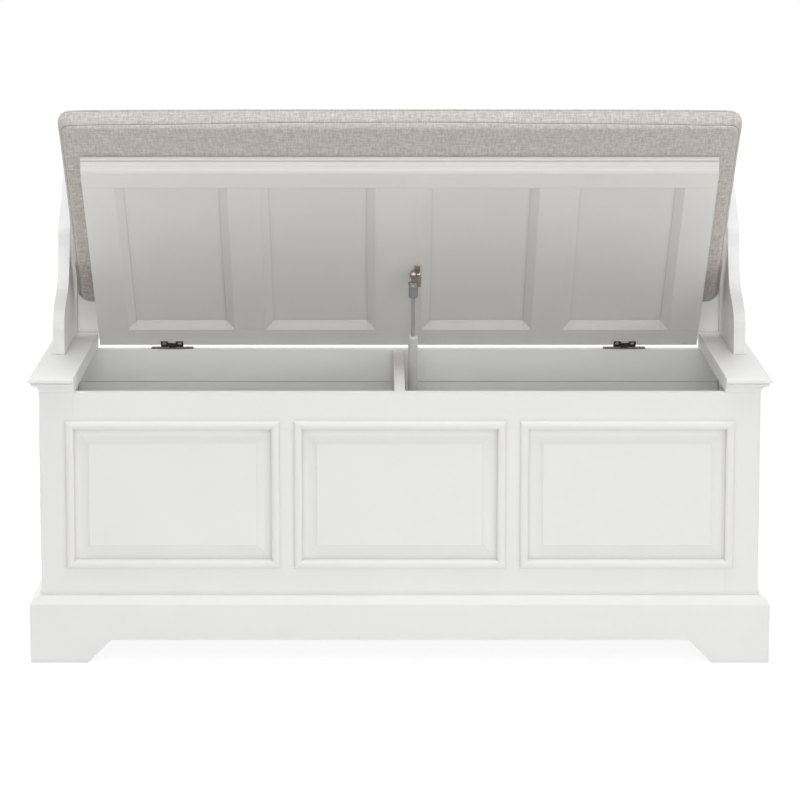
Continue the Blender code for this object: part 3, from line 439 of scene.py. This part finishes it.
class CushionShape:
    """The cushion in the closed lid's place, worked out from the solid that it stands for."""

    EASE = Vector((0.0010, -0.0003, 0.0))   # from the solid's half sizes to the cover's
    STEP = 0.0105       # size of the cover's faces
    CORNER = 0.015      # radius of the corners in plan
    DRAW_IN = 0.0012    # how far the sides are drawn in at their ends
    BOXING = 0.0362     # height of the boxing at its middle
    END_DROP = 0.0024   # how much lower it is at the ends of the long sides
    CORNER_DROP = 0.0022    # and at the corners
    CROWN = 0.0030      # rise of the top over the boxing
    SEAM = 0.0049       # height of the lower seam at the corners
    SEAM_ROLL = 0.0048  # how far the filling rolls it up between them
    SEAM_WAVE = 0.0006  # height of its unevenness
    ROLL = 1.6          # power that shapes the roll along a long side
    NEAR_EDGE = 4       # power that keeps it near that side
    TOP_SEAM = 0.0042   # depth of the upper seam under the boxing's height
    LIP = 0.0009        # half height of a seam's fold
    BASE_EDGE = (-0.0081, -0.0050)  # growth of the base and the top in x and in y
    TOP_EDGE = (-0.0032, -0.0024)

    def __init__(self):
        low, high = closed_box("seat_cushion")
        self.low = low
        self.middle = (low + high) / 2
        self.half = (high - low) / 2 + self.EASE

    def shares(self, x, y):
        """How far along each half side a point is, from 0 in the middle to 1 at the edge."""
        return abs(x) / self.half.x, abs(y) / self.half.y

    def plan(self, x, y, grow):
        """Moves a point of the plain rectangle onto rounded corners and drawn-in sides, grown outward."""
        half_x = self.half.x + grow[0]
        half_y = self.half.y + grow[1]
        u = x / self.half.x
        v = y / self.half.y
        px = u * half_x
        py = v * half_y
        r = self.CORNER
        inner = Vector((max(-half_x + r, min(half_x - r, px)),
                        max(-half_y + r, min(half_y - r, py))))
        away = Vector((px, py)) - inner
        if away.length > r:
            away *= r / away.length
        drawn_x = math.copysign(self.DRAW_IN * (1 - v * v) * abs(u) ** 3, u)
        drawn_y = math.copysign(self.DRAW_IN * (1 - u * u) * abs(v) ** 3, v)
        return self.middle.x + inner.x + away.x - drawn_x, self.middle.y + inner.y + away.y - drawn_y

    def edge(self, x, y):
        """Height of the boxing, a little lower towards the ends and at the sewn corners."""
        u, v = self.shares(x, y)
        return self.BOXING - self.END_DROP * u * u * v ** 4 - self.CORNER_DROP * (u * v) ** 24

    def top(self, x, y):
        """Height of the crowned top."""
        u, v = self.shares(x, y)
        return self.edge(x, y) + self.CROWN * (1 - u ** 4) * (1 - v ** 4)

    def lower_seam(self, x, y):
        """Height of the lower seam: the filling rolls it up between the corners of the long sides."""
        u, v = self.shares(x, y)
        wave = math.sin(x * 17 + 1.3) * math.sin(x * 7.3 + 0.4)
        rise = self.SEAM_ROLL * (1 - u ** self.ROLL) + self.SEAM_WAVE * wave
        return self.SEAM + rise * v ** self.NEAR_EDGE

    def rows(self, x, y):
        """Rows of the cover from the base's edge to the top's: growth in x and y, height, held or not."""
        u, v = self.shares(x, y)
        rolled = (1 - u ** self.ROLL) * v ** self.NEAR_EDGE
        low, high = self.lower_seam(x, y), self.edge(x, y) - self.TOP_SEAM
        seam_x, seam_y = -0.0040, -0.0034 + 0.0030 * rolled
        lip = self.LIP
        side = high - low
        return ((-0.0061, -0.0038 + 0.0022 * rolled, low * 0.45, False),
                (seam_x - 0.0006, seam_y + 0.0006, low - lip, True),
                (seam_x - 0.0012, seam_y - 0.0012, low, True),
                (seam_x + 0.0016, seam_y + 0.0014, low + lip, True),
                (0.0004, 0.0000, low + side * 0.28, False),
                (0.0012, 0.0004, low + side * 0.52, False),
                (0.0010, 0.0004, low + side * 0.77, False),
                (0.0000, -0.0001, high - lip, True),
                (-0.0022, -0.0022, high, True),
                (-0.0006, -0.0007, high + lip, True))


def spaced(half, corner, step):
    """Stations across a side: fine at the corners, even between."""
    inner = half - corner
    count = round(2 * inner / step)
    ends = (0.0, 0.2, 0.45, 0.72)
    middle = [-inner + 2 * inner * i / count for i in range(count + 1)]
    return [-half + corner * e for e in ends] + middle + [half - corner * e for e in reversed(ends)]


def cushion_cover(shape):
    """A closed cover: flat base, boxing between two seams, and a crowned top."""
    xs = spaced(shape.half.x, shape.CORNER, shape.STEP)
    ys = spaced(shape.half.y, shape.CORNER, shape.STEP)
    points = []
    faces = []

    def spot(x, y, grow, z):
        points.append((*shape.plan(x, y, grow), shape.low.z + z))
        return len(points) - 1

    last_x = len(xs) - 1
    last_y = len(ys) - 1
    rim = [(i, 0) for i in range(last_x)] + [(last_x, j) for j in range(last_y)]
    rim += [(i, last_y) for i in range(last_x, 0, -1)] + [(0, j) for j in range(last_y, 0, -1)]
    base = [[spot(x, y, shape.BASE_EDGE, 0.0) for y in ys] for x in xs]
    top = [[spot(x, y, shape.TOP_EDGE, shape.top(x, y)) for y in ys] for x in xs]
    for grid, faces_down in ((base, True), (top, False)):
        for i in range(last_x):
            for j in range(last_y):
                face = (grid[i][j], grid[i + 1][j], grid[i + 1][j + 1], grid[i][j + 1])
                faces.append(face[::-1] if faces_down else face)
    loops = [[base[i][j] for i, j in rim]]
    held = [index for row in base[1:-1] for index in row[1:-1]]
    around = [shape.rows(xs[i], ys[j]) for i, j in rim]
    for level in range(len(around[0])):
        loop = []
        for (i, j), rows in zip(rim, around):
            grow_x, grow_y, height, pinned = rows[level]
            loop.append(spot(xs[i], ys[j], (grow_x, grow_y), height))
            if pinned:
                held.append(loop[-1])
        loops.append(loop)
    loops.append([top[i][j] for i, j in rim])
    held += loops[-1]
    for first, second in zip(loops, loops[1:]):
        for k in range(len(rim)):
            n = (k + 1) % len(rim)
            faces.append((first[k], first[n], second[n], second[k]))
    return points, faces, held, loops


PRESS_FRAMES = 20


def corners_of(made):
    """The points of an object's mesh."""
    return np.array([v.co[:] for v in made.data.vertices])


def swell(made, held, pressure, most):
    """Lets the filling press the cover out for a few frames, then limits how far it went."""
    start = corners_of(made)
    group = made.vertex_groups.new(name="held")
    group.add(held, 1.0, "REPLACE")
    cloth = made.modifiers.new("cover", "CLOTH")
    cloth.settings.quality = 6
    cloth.settings.mass = 0.12
    cloth.settings.tension_stiffness = 22.0
    cloth.settings.compression_stiffness = 22.0
    cloth.settings.bending_stiffness = 1.2
    cloth.settings.use_pressure = True
    cloth.settings.uniform_pressure_force = pressure
    cloth.settings.vertex_group_mass = "held"
    cloth.settings.effector_weights.gravity = 0.0
    cloth.collision_settings.use_collision = False
    cloth.point_cache.frame_start = 1
    cloth.point_cache.frame_end = PRESS_FRAMES
    for number in range(1, PRESS_FRAMES + 1):
        bpy.context.scene.frame_set(number)
    freeze(made)
    bpy.context.scene.frame_set(1)
    moved = corners_of(made) - start
    far = np.linalg.norm(moved, axis=1)
    moved *= (most * np.tanh(far / most) / np.maximum(far, 1e-9))[:, None]
    made.vertex_groups.clear()
    return start + moved


def seam_wave(along, seed):
    """Uneven puckers along a seam, from -1 to 1."""
    return (math.sin(along * 410 + seed) + 0.7 * math.sin(along * 263 + 2.1 * seed)
            + 0.5 * math.sin(along * 655 + 0.7 * seed)) / 2.2


# The two directions of the map on the ends, on the long sides and on top, and where each map starts
WEAVES = (((1, 2), (0.83, 0.29)), ((0, 2), (0.37, 0.61)), ((0, 1), (0.0, 0.0)))
TOP_FIRST = 1.15


def weave_map(mesh):
    """Lays the cloth's own map, in metres, over the top, base and boxing."""
    layer = mesh.uv_layers.new(name="weave")
    for polygon in mesh.polygons:
        normal = polygon.normal
        size = (abs(normal.x), abs(normal.y), abs(normal.z) * TOP_FIRST)
        (across, along), (start_u, start_v) = WEAVES[size.index(max(size))]
        for loop in polygon.loop_indices:
            place = mesh.vertices[mesh.loops[loop].vertex_index].co
            layer.data[loop].uv = (place[across] + start_u, place[along] + start_v)


def lift_into_place(mesh):
    """Turns a mesh drawn with the lid down to where it is with the lid up."""
    turn = Matrix.Rotation(-LID_TILT, 4, "X")
    mesh.transform(Matrix.Translation(HINGE) @ turn @ Matrix.Translation(-HINGE))


class BENCH_OT_cushion(bpy.types.Operator):
    """Sews, fills and covers the seat cushion"""

    bl_idname = "bench.cushion"
    bl_label = "Seat cushion"

    SEAMS = (3, 9)  # the loops of the cover that are sewn
    # The loops that pucker: their place in the cover, seed and share of the depth
    GATHERS = ((1, 1.0, 0.6), (5, 3.0, 0.9), (7, 4.0, 0.9), (-1, 7.0, 0.6))

    def execute(self, context):
        settings = context.scene.bench_cushion
        shape = CushionShape()
        linen = linen_cloth("linen", settings)
        points, faces, held, loops = cushion_cover(shape)
        mesh = bpy.data.meshes.new("cushion_cover")
        mesh.from_pydata(points, [], faces)
        mesh.update()
        # Painted shade: the sewn loops get 1 in this mask, and the linen darkens the cloth along them
        sewn = mesh.attributes.new("seam_shade_mask", "FLOAT", "POINT")
        for level in self.SEAMS:
            for index in loops[level]:
                sewn.data[index].value = 1.0
        made = stand("cushion_cover", mesh)
        places = np.array(points)
        places = swell(made, held, settings.pressure, settings.most_swell)
        places[:, 2] = np.maximum(places[:, 2], shape.low.z)
        self.pucker(places, loops, settings.pucker)
        made.data.vertices.foreach_set("co", places.ravel())
        made.data.update()
        layers = made.modifiers.new("smooth", "SUBSURF")
        layers.levels = 1
        layers.render_levels = 1
        freeze(made)
        coat(made.data, linen)
        weave_map(made.data)
        lift_into_place(made.data)
        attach(made, "cushion")
        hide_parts("seat_cushion")
        return {"FINISHED"}

    def pucker(self, places, loops, depth):
        """Gathers the cloth a little beside each seam."""
        for level, seed, share in self.GATHERS:
            length = 0.0
            row = loops[level]
            before = places[row].copy()
            for k, index in enumerate(row):
                length += float(np.linalg.norm(before[k] - before[k - 1]))
                along = before[(k + 1) % len(row)] - before[k - 1]
                out = Vector((along[1], -along[0])).normalized()
                step = depth * share * seam_wave(length, seed)
                places[index][0] += out.x * step
                places[index][1] += out.y * step


# Boards and ironwork

class BENCH_OT_boards(bpy.types.Operator):
    """Paints every board of the box, lid, wings and backrest"""

    bl_idname = "bench.boards"
    bl_label = "Painted boards"

    def execute(self, context):
        settings = context.scene.bench_paint
        paints = [painted_board(f"satin_paint_{number}", settings, settings.colour, seed)
                  for number, seed in enumerate((40, 41, 42), 1)]
        # Painted light: the lid's lighter, warmer copy of the paint stands in for bounce light on its underside
        lid_bounce_paint = painted_board("satin_paint_lid", settings, settings.lid_bounce_colour, seed=44)
        slots = {entry["node"]: entry["material_slot"] for entry in frame["record"]["subparts"]}
        painted = sorted(node for node, slot in slots.items() if slot == "white_paint")
        if not painted:
            raise RuntimeError("the record names no painted boards")
        for i, node in enumerate(painted):
            dress(node, lid_bounce_paint if node.startswith("lid_") else paints[i % len(paints)])
        return {"FINISHED"}


def dress(node, material):
    """Gives a solid of the model its material."""
    made = frame["nodes"][node]
    if not made.material_slots:
        made.data.materials.append(material)
    for slot in made.material_slots:
        slot.material = material


DOME = 0.36     # height of the drawn screw head, whose radius is 1


def screw_head(material):
    """A low domed head with a cross recess, drawn with a radius of 1."""
    sides = 24
    slot_half, slot_reach, slot_depth = 0.11, 0.6, 0.26
    maker = bmesh.new()
    rings = []
    for share in (0.0, 0.16, 0.34, 0.52, 0.70, 0.86, 0.96, 1.0):
        ring = []
        for i in range(sides if share else 1):
            angle = math.tau * i / sides
            x, y = share * math.cos(angle), share * math.sin(angle)
            z = DOME * (1 - share ** 2.6)
            if min(abs(x), abs(y)) < slot_half and share < slot_reach:
                z -= slot_depth
            ring.append(maker.verts.new((x, y, z)))
        rings.append(ring)
    join_rings(maker, rings)
    maker.faces.new(rings[-1])
    bmesh.ops.recalc_face_normals(maker, faces=maker.faces)
    return new_piece("screw_head", maker, material)


def screw_tree(material):
    """A node tree that stands a screw on each point, faces it out and turns it at random."""
    tree = bpy.data.node_groups.new("screws_on_points", "GeometryNodeTree")
    for name, kind in (("Seats", "Geometry"), ("Screw", "Object"), ("Head Radius", "Float"),
                       ("Head Rise", "Float"), ("Seed", "Int")):
        tree.interface.new_socket(name, in_out="INPUT", socket_type=f"NodeSocket{kind}")
    tree.interface.new_socket("Screws", in_out="OUTPUT", socket_type="NodeSocketGeometry")

    def node(kind, **settings):
        made = tree.nodes.new(kind)
        for name, value in settings.items():
            setattr(made, name, value)
        return made

    def named(sockets, name):
        """The socket of this name that the node's data type uses."""
        return next(socket for socket in sockets if socket.enabled and socket.name == name)

    inputs = node("NodeGroupInput")
    outputs = node("NodeGroupOutput")
    shape = node("GeometryNodeObjectInfo")
    scale = node("ShaderNodeCombineXYZ")
    facing = node("GeometryNodeInputNamedAttribute", data_type="FLOAT_VECTOR")
    align = node("FunctionNodeAlignRotationToVector", axis="Z")
    turn = node("FunctionNodeRandomValue", data_type="FLOAT")
    spin = node("FunctionNodeRotateRotation", rotation_space="LOCAL")
    euler = node("ShaderNodeCombineXYZ")
    place = node("GeometryNodeInstanceOnPoints")
    real = node("GeometryNodeRealizeInstances")
    paint = node("GeometryNodeSetMaterial")
    named(facing.inputs, "Name").default_value = "facing"
    named(turn.inputs, "Max").default_value = math.tau
    named(paint.inputs, "Material").default_value = material
    for source, output, target, entry in (
            (inputs, "Seats", place, "Points"),
            (inputs, "Screw", shape, "Object"),
            (shape, "Geometry", place, "Instance"),
            (inputs, "Head Radius", scale, "X"),
            (inputs, "Head Radius", scale, "Y"),
            (inputs, "Head Rise", scale, "Z"),
            (scale, "Vector", place, "Scale"),
            (facing, "Attribute", align, "Vector"),
            (inputs, "Seed", turn, "Seed"),
            (turn, "Value", euler, "Z"),
            (align, "Rotation", spin, "Rotation"),
            (euler, "Vector", spin, "Rotate By"),
            (spin, "Rotation", place, "Rotation"),
            (place, "Instances", real, "Geometry"),
            (real, "Geometry", paint, "Geometry"),
            (paint, "Geometry", outputs, "Screws")):
        tree.links.new(named(source.outputs, output), named(target.inputs, entry))
    return tree


def stand_screws(name, seats, head, tree, material, settings):
    """One mesh of screws for one body, from (point, outward direction) pairs."""
    mesh = bpy.data.meshes.new(name)
    mesh.from_pydata([point for point, _ in seats], [], [])
    facing = mesh.attributes.new("facing", "FLOAT_VECTOR", "POINT")
    for entry, (_, direction) in zip(facing.data, seats):
        entry.vector = direction
    made = stand(name, mesh)
    nodes = made.modifiers.new("screws", "NODES")
    nodes.node_group = tree
    names = {item.name: item.identifier for item in tree.interface.items_tree
             if item.in_out == "INPUT"}
    nodes[names["Screw"]] = head
    nodes[names["Head Radius"]] = settings.head_radius
    nodes[names["Head Rise"]] = settings.head_rise / DOME
    nodes[names["Seed"]] = settings.seed
    freeze(made)
    if not made.data.polygons:
        raise RuntimeError(f"{name} came out empty")
    coat(made.data, material)
    return made


class BENCH_OT_hinges(bpy.types.Operator):
    """Plates the hinges and stands the screws on the hinges and the strut's brackets"""

    bl_idname = "bench.hinges"
    bl_label = "Hinges and screws"

    FIXED_DROP = 0.0038             # from the hinge's axis down to the fixed leaf's top
    FIXED_INSET = (0.008, 0.006)    # the fixed leaf's screws, from its ends and from its rear edge
    MOVING_INSET = (0.0057, 0.0062)     # the moving leaf's, from its ends and from its front edge
    PLATE = 0.0016                  # thickness of the strut's brackets
    UPPER_IN = 0.0047               # the upper bracket's screws, from its left edge
    UPPER_BACK = (0.010, 0.030)     # and from its rear edge
    LOWER_INSET = 0.006             # the lower bracket's, from its ends

    def execute(self, context):
        settings = context.scene.bench_hardware
        bronze = dark_bronze("dark_bronze", tuple(settings.hinge_colour))
        screw_steel = dark_bronze("screw_bronze", tuple(settings.screw_colour))
        for side in ("left", "right"):
            for part in ("fixed_leaf", "moving_leaf", "pin"):
                dress(f"hinge_{side}_{part}", bronze)
        head = screw_head(screw_steel)
        tree = screw_tree(screw_steel)
        box_seats = []
        lid_seats = []
        out_of_lid = Matrix.Rotation(-LID_TILT, 3, "X") @ Vector((0.0, 0.0, -1.0))
        for side in ("left", "right"):
            low, high = (Vector(corner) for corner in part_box(f"hinge_{side}_fixed_leaf"))
            across, along = self.FIXED_INSET
            for x in (low.x + across, high.x - across):
                box_seats.append(((x, high.y - along, HINGE.z - self.FIXED_DROP), (0.0, 0.0, 1.0)))
            low, high = closed_box(f"hinge_{side}_moving_leaf")
            across, along = self.MOVING_INSET
            for x in (low.x + across, high.x - across):
                lid_seats.append((to_raised((x, low.y + along, low.z)), out_of_lid))
        low, high = closed_box("strut_upper_bracket")
        for back in self.UPPER_BACK:
            seat = (low.x + self.UPPER_IN, high.y - back, high.z - self.PLATE)
            lid_seats.append((to_raised(seat), out_of_lid))
        low, high = (Vector(corner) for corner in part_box("strut_lower_bracket"))
        for y in (low.y + self.LOWER_INSET, high.y - self.LOWER_INSET):
            box_seats.append(((low.x + self.PLATE, y, (low.z + high.z) / 2), (1.0, 0.0, 0.0)))
        for name, seats, body in (("box_screws", box_seats, "box"), ("lid_screws", lid_seats, "lid")):
            made = stand_screws(name, seats, head, tree, screw_steel, settings)
            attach(made, body)
        bpy.data.objects.remove(head, do_unlink=True)
        return {"FINISHED"}


def circle(maker, middle, across, other, radius, sides):
    """Points in a circle, or a single one where the radius is 0."""
    return [maker.verts.new(middle + (across * math.cos(a) + other * math.sin(a)) * radius)
            for a in (math.tau * i / sides for i in range(sides if radius else 1))]


def turned(name, start, along, profile, material):
    """A closed shape turned round an axis, from (distance, radius) pairs; radius 0 closes an end."""
    across = along.orthogonal().normalized()
    other = along.cross(across)
    maker = bmesh.new()
    join_rings(maker, [circle(maker, start + along * reach, across, other, radius, 32)
                       for reach, radius in profile])
    bmesh.ops.recalc_face_normals(maker, faces=maker.faces)
    made = new_piece(name, maker, material)
    made.data.set_sharp_from_angle(angle=math.radians(35.0))
    return made


def bent_wire(name, path, radius, material):
    """Round wire along a path of points, closed at both ends."""
    beside = Vector((0.0, 0.6, 0.8))    # a direction that no stretch of the path takes
    maker = bmesh.new()
    rings = []
    for i, point in enumerate(path):
        ahead = (path[min(i + 1, len(path) - 1)] - path[max(i - 1, 0)]).normalized()
        across = ahead.cross(beside).normalized()
        rings.append(circle(maker, point, across, ahead.cross(across), radius, 10))
    join_rings(maker, rings)
    for ring in (rings[0], rings[-1]):
        maker.faces.new(ring)
    bmesh.ops.recalc_face_normals(maker, faces=maker.faces)
    return new_piece(name, maker, material)


class BENCH_OT_strut(bpy.types.Operator):
    """Turns the gas strut's barrel and fittings, and finishes its rod, socket and brackets"""

    bl_idname = "bench.strut"
    bl_label = "Gas strut"

    ROD_END = 0.045         # from the upper ball to the end of its sleeve
    ROD_SHOWN = 0.0765      # bare rod between sleeve and barrel with the lid up
    BARREL_START = 0.0242   # from the lower ball to the barrel
    TUBE, BORE, ROD = 0.0076, 0.0050, 0.0032    # radii
    PLUG = 0.006            # depth of the guide in the barrel's open end
    FLOOR = 0.008           # thickness of the barrel's closed end
    CLIP_DOWN = 0.0178      # from the upper ball to the clip's loop
    CLIP_LOOP, CLIP_WIRE = 0.0076, 0.0007       # radii
    # The clip's straight end: down from the ball, to the side and to the rear
    CLIP_TAIL = ((0.0190, 0.0080, 0.0030), (0.0230, 0.0086, 0.0032), (0.0262, 0.0092, 0.0030))

    def execute(self, context):
        settings = context.scene.bench_hardware
        along = Vector(JOINTS["strut_stroke"]["axis"])
        foot = Vector(JOINTS["strut_swing"]["pos_m"])
        low, high = (Vector(corner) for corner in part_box("strut_upper_ball_stud"))
        ball = Vector((foot.x, (low.y + high.y) / 2, (low.z + high.z) / 2))
        up = (ball - foot).normalized()
        length = (ball - foot).length
        lacquer = strut_paint("strut_lacquer", tuple(settings.tube_colour), along)
        sockets = moulded_plastic("socket_plastic", tuple(settings.socket_colour))
        fittings = ground_steel("fitting_steel", (0.46, 0.40, 0.35), along, 0.32)
        dress("strut_rod", ground_steel("strut_rod_steel", (0.52, 0.52, 0.505), along, 0.42, 0.3))
        dress("strut_lower_socket", sockets)
        plate = ground_steel("bracket_steel", (0.60, 0.52, 0.45), along, 0.45, 0.6)
        for node in ("strut_lower_bracket", "strut_upper_bracket"):
            dress(node, plate)
        dress("strut_upper_ball_stud", fittings)
        self.barrel(foot, up, length - self.ROD_END - self.ROD_SHOWN, lacquer)
        self.end_fitting(ball, -up, sockets, fittings)
        return {"FINISHED"}

    def barrel(self, foot, up, end, lacquer):
        """The tube, rolled over at its open end and beaded where the seal sits."""
        start, radius, rod = self.BARREL_START, self.TUBE, self.ROD
        step = 0.0006
        profile = [(start, 0.0), (start, radius - 0.0016), (start + 0.0005, radius - step),
                   (start + 0.0016, radius), (end - 0.0135, radius), (end - 0.0128, radius - step),
                   (end - 0.0118, radius - step), (end - 0.0111, radius)]
        turn = radius - rod - step
        for degrees in range(0, 91, 15):
            a = math.radians(degrees)
            profile.append((end - turn + turn * math.sin(a), radius - turn + turn * math.cos(a)))
        profile += [(end, rod), (end - self.PLUG, rod), (end - self.PLUG, self.BORE),
                    (start + self.FLOOR, self.BORE), (start + self.FLOOR, 0.0)]
        made = turned("strut_barrel", foot, up, profile, lacquer)
        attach(made, "strut_cylinder")
        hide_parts("strut_tube")

    def end_fitting(self, ball, down, sockets, fittings):
        """The rod's end: a moulded sleeve, a steel eye over the ball and the wire clip that holds it."""
        sleeve = [(0.0150, 0.0), (0.0150, 0.0040), (0.0158, 0.0056), (0.0174, 0.0068), (0.0200, 0.0072),
                  (0.0322, 0.0072), (0.0325, 0.0069), (0.0333, 0.0069), (0.0336, 0.0072), (0.0415, 0.0072),
                  (0.0435, 0.0066), (0.0450, 0.0052), (0.0450, 0.0)]
        made = turned("strut_sleeve", ball, down, sleeve, sockets)
        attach(made, "strut_piston")
        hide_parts("strut_upper_socket")
        eye = [(-0.0062, 0.0), (-0.0060, 0.0016), (-0.0052, 0.0036), (-0.0034, 0.0053), (0.0, 0.0063),
               (0.0034, 0.0055), (0.0058, 0.0042), (0.0080, 0.0037), (0.0155, 0.0037), (0.0155, 0.0)]
        made = turned("strut_eye", ball, down, eye, fittings)
        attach(made, "strut_piston")
        side = Vector((1.0, 0.0, 0.0))
        front = side.cross(down).normalized()
        if front.y > 0:
            front = -front
        path = []
        for degrees in range(200, -21, -12):
            a = math.radians(degrees)
            loop = side * math.cos(a) + front * math.sin(a)
            path.append(ball + down * self.CLIP_DOWN + loop * self.CLIP_LOOP)
        for reach, aside, behind in self.CLIP_TAIL:
            path.append(ball + down * reach + side * aside - front * behind)
        made = bent_wire("strut_clip", path, self.CLIP_WIRE, fittings)
        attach(made, "strut_piston")


# Stage

class BENCH_OT_stage(bpy.types.Operator):
    """Sets the floor, the soft boxes, the room's light and the camera"""

    bl_idname = "bench.stage"
    bl_label = "Studio"

    CAMERA_PLACE = (-0.0316, -5.60835, 1.2493)
    CAMERA_DIP = 9.0516         # degrees under level
    FLOOR_HALF = 14.0           # half the floor's width
    FLOOR_MIDDLE = (0.0, 4.0, -0.0004)
    GLOW_REACH = (0.8, 2.6)     # where the floor's glow starts and ends its rise

    def execute(self, context):
        settings = context.scene.bench_studio
        self.camera(context)
        self.floor()
        self.room(context, settings.ambient)
        middle = (0.0, 0.0, 0.4)
        self.soft_box("front_soft_box", (0.0, -6.5, 1.1), middle, 3.6, 0.9, settings.front)
        self.soft_box("right_soft_box", (4.2, -5.0, 1.1), middle, 2.0, 1.6, settings.right)
        self.soft_box("high_soft_box", (0.0, -5.0, 3.4), middle, 3.4, 1.4, settings.high)
        self.soft_box("overhead_soft_box", (0.0, -0.6, 3.2), (0.0, -0.1, 0.4), 3.0, 2.0, settings.top)
        for side, x in (("left", -1.0), ("right", 1.0)):
            self.soft_box(f"back_{side}_soft_box", (x * 3.6, 4.6, 2.0), middle, 2.6, 1.8, settings.back)
            self.soft_box(f"{side}_end_soft_box", (x * 4.4, 0.2, 1.5), middle, 2.0, 1.4, settings.ends)
        context.scene.view_settings.view_transform = "Standard"
        return {"FINISHED"}

    def camera(self, context):
        lens = bpy.data.cameras.new("photo_camera")
        lens.sensor_width = 36.0
        lens.lens = 165.17
        lens.shift_x = 0.0267
        lens.clip_end = 60.0
        made = stand("photo_camera", lens)
        made.location = self.CAMERA_PLACE
        made.rotation_euler = (math.radians(90.0 - self.CAMERA_DIP), 0.0, 0.0)
        context.scene.camera = made

    def floor(self):
        """White where it shows, with the bench's shadow on it, and plain white to the light."""
        maker = bmesh.new()
        bmesh.ops.create_grid(maker, x_segments=1, y_segments=1, size=self.FLOOR_HALF,
                              matrix=Matrix.Translation(self.FLOOR_MIDDLE))
        finish = Finish("pale_floor", (0.26, 0.26, 0.26), 0.9)
        finish.feed("Specular IOR Level", 0.0)
        spot = finish.node("ShaderNodeTexCoord", output="Object")
        away = finish.node("ShaderNodeVectorMath", {"operation": "LENGTH"}, spot, output="Value")
        near_glow = finish.node("ShaderNodeEmission", None, (1.0, 1.0, 1.0), 0.90)
        far_glow = finish.node("ShaderNodeEmission", None, (1.0, 1.0, 1.0), 0.985)
        glow = finish.node("ShaderNodeMixShader", None, away.smooth(*self.GLOW_REACH), near_glow, far_glow)
        lit = finish.node("ShaderNodeAddShader", None, Wire(finish, finish.shader.outputs[0]), glow)
        plain_white = finish.node("ShaderNodeBsdfDiffuse", None, (0.85, 0.85, 0.85))
        shown = finish.node("ShaderNodeMixShader", None, finish.seen(), plain_white, lit)
        finish.plug(finish.tree.nodes["Material Output"].inputs["Surface"], shown)
        new_piece("floor", maker, finish.material, smooth=False)

    def room(self, context, ambient):
        """An even light on the bench, against a white background."""
        world = bpy.data.worlds.new("studio_room")
        world.use_nodes = True
        world.node_tree.nodes.clear()
        room = Nodes(world.node_tree)
        light = room.node("ShaderNodeBackground", None, (1.0, 0.995, 0.985), ambient)
        white = room.node("ShaderNodeBackground", None, (1.0, 1.0, 1.0), 1.0)
        shown = room.node("ShaderNodeMixShader", None, room.seen(), light, white)
        room.plug(world.node_tree.nodes.new("ShaderNodeOutputWorld").inputs["Surface"], shown)
        context.scene.world = world

    def soft_box(self, name, place, target, width, height, power):
        """A lamp turned to its target, in metres and watts, out of the camera's sight."""
        lamp = bpy.data.lights.new(name, "AREA")
        lamp.shape = "RECTANGLE"
        lamp.size = width
        lamp.size_y = height
        lamp.energy = power
        made = stand(name, lamp)
        made.location = place
        made.rotation_euler = (Vector(target) - Vector(place)).to_track_quat("-Z", "Y").to_euler()
        made.visible_camera = False


class BENCH_PT_panel(bpy.types.Panel):
    """Lists the bench's settings and what builds each part of it"""

    bl_idname = "BENCH_PT_panel"
    bl_label = "Shoe storage bench"
    bl_space_type = "VIEW_3D"
    bl_region_type = "UI"
    bl_category = "Bench"

    def draw(self, context):
        layout = self.layout
        scene = context.scene
        for title, group, operators in (
                ("Boards", scene.bench_paint, ("bench.boards",)),
                ("Ironwork", scene.bench_hardware, ("bench.hinges", "bench.strut")),
                ("Cushion", scene.bench_cushion, ("bench.cushion",)),
                ("Studio", scene.bench_studio, ("bench.stage",))):
            box = layout.box()
            box.label(text=title)
            for name in group.bl_rna.properties.keys():
                if name not in ("rna_type", "name"):
                    box.prop(group, name)
            for operator in operators:
                box.operator(operator)


GROUPS = {"bench_paint": PaintSettings, "bench_hardware": HardwareSettings,
          "bench_cushion": CushionSettings, "bench_studio": StudioSettings}
OPERATORS = (BENCH_OT_stage, BENCH_OT_boards, BENCH_OT_hinges, BENCH_OT_strut, BENCH_OT_cushion)


def register():
    for name, group in GROUPS.items():
        bpy.utils.register_class(group)
        setattr(bpy.types.Scene, name, PointerProperty(type=group))
    for kind in (*OPERATORS, BENCH_PT_panel):
        bpy.utils.register_class(kind)


def unregister():
    for kind in (BENCH_PT_panel, *reversed(OPERATORS)):
        bpy.utils.unregister_class(kind)
    for name, group in GROUPS.items():
        delattr(bpy.types.Scene, name)
        bpy.utils.unregister_class(group)


def main():
    register()
    bpy.ops.bench.stage()
    bpy.ops.bench.boards()
    bpy.ops.bench.hinges()
    bpy.ops.bench.strut()
    bpy.ops.bench.cushion()


if __name__ == "__main__":
    main()
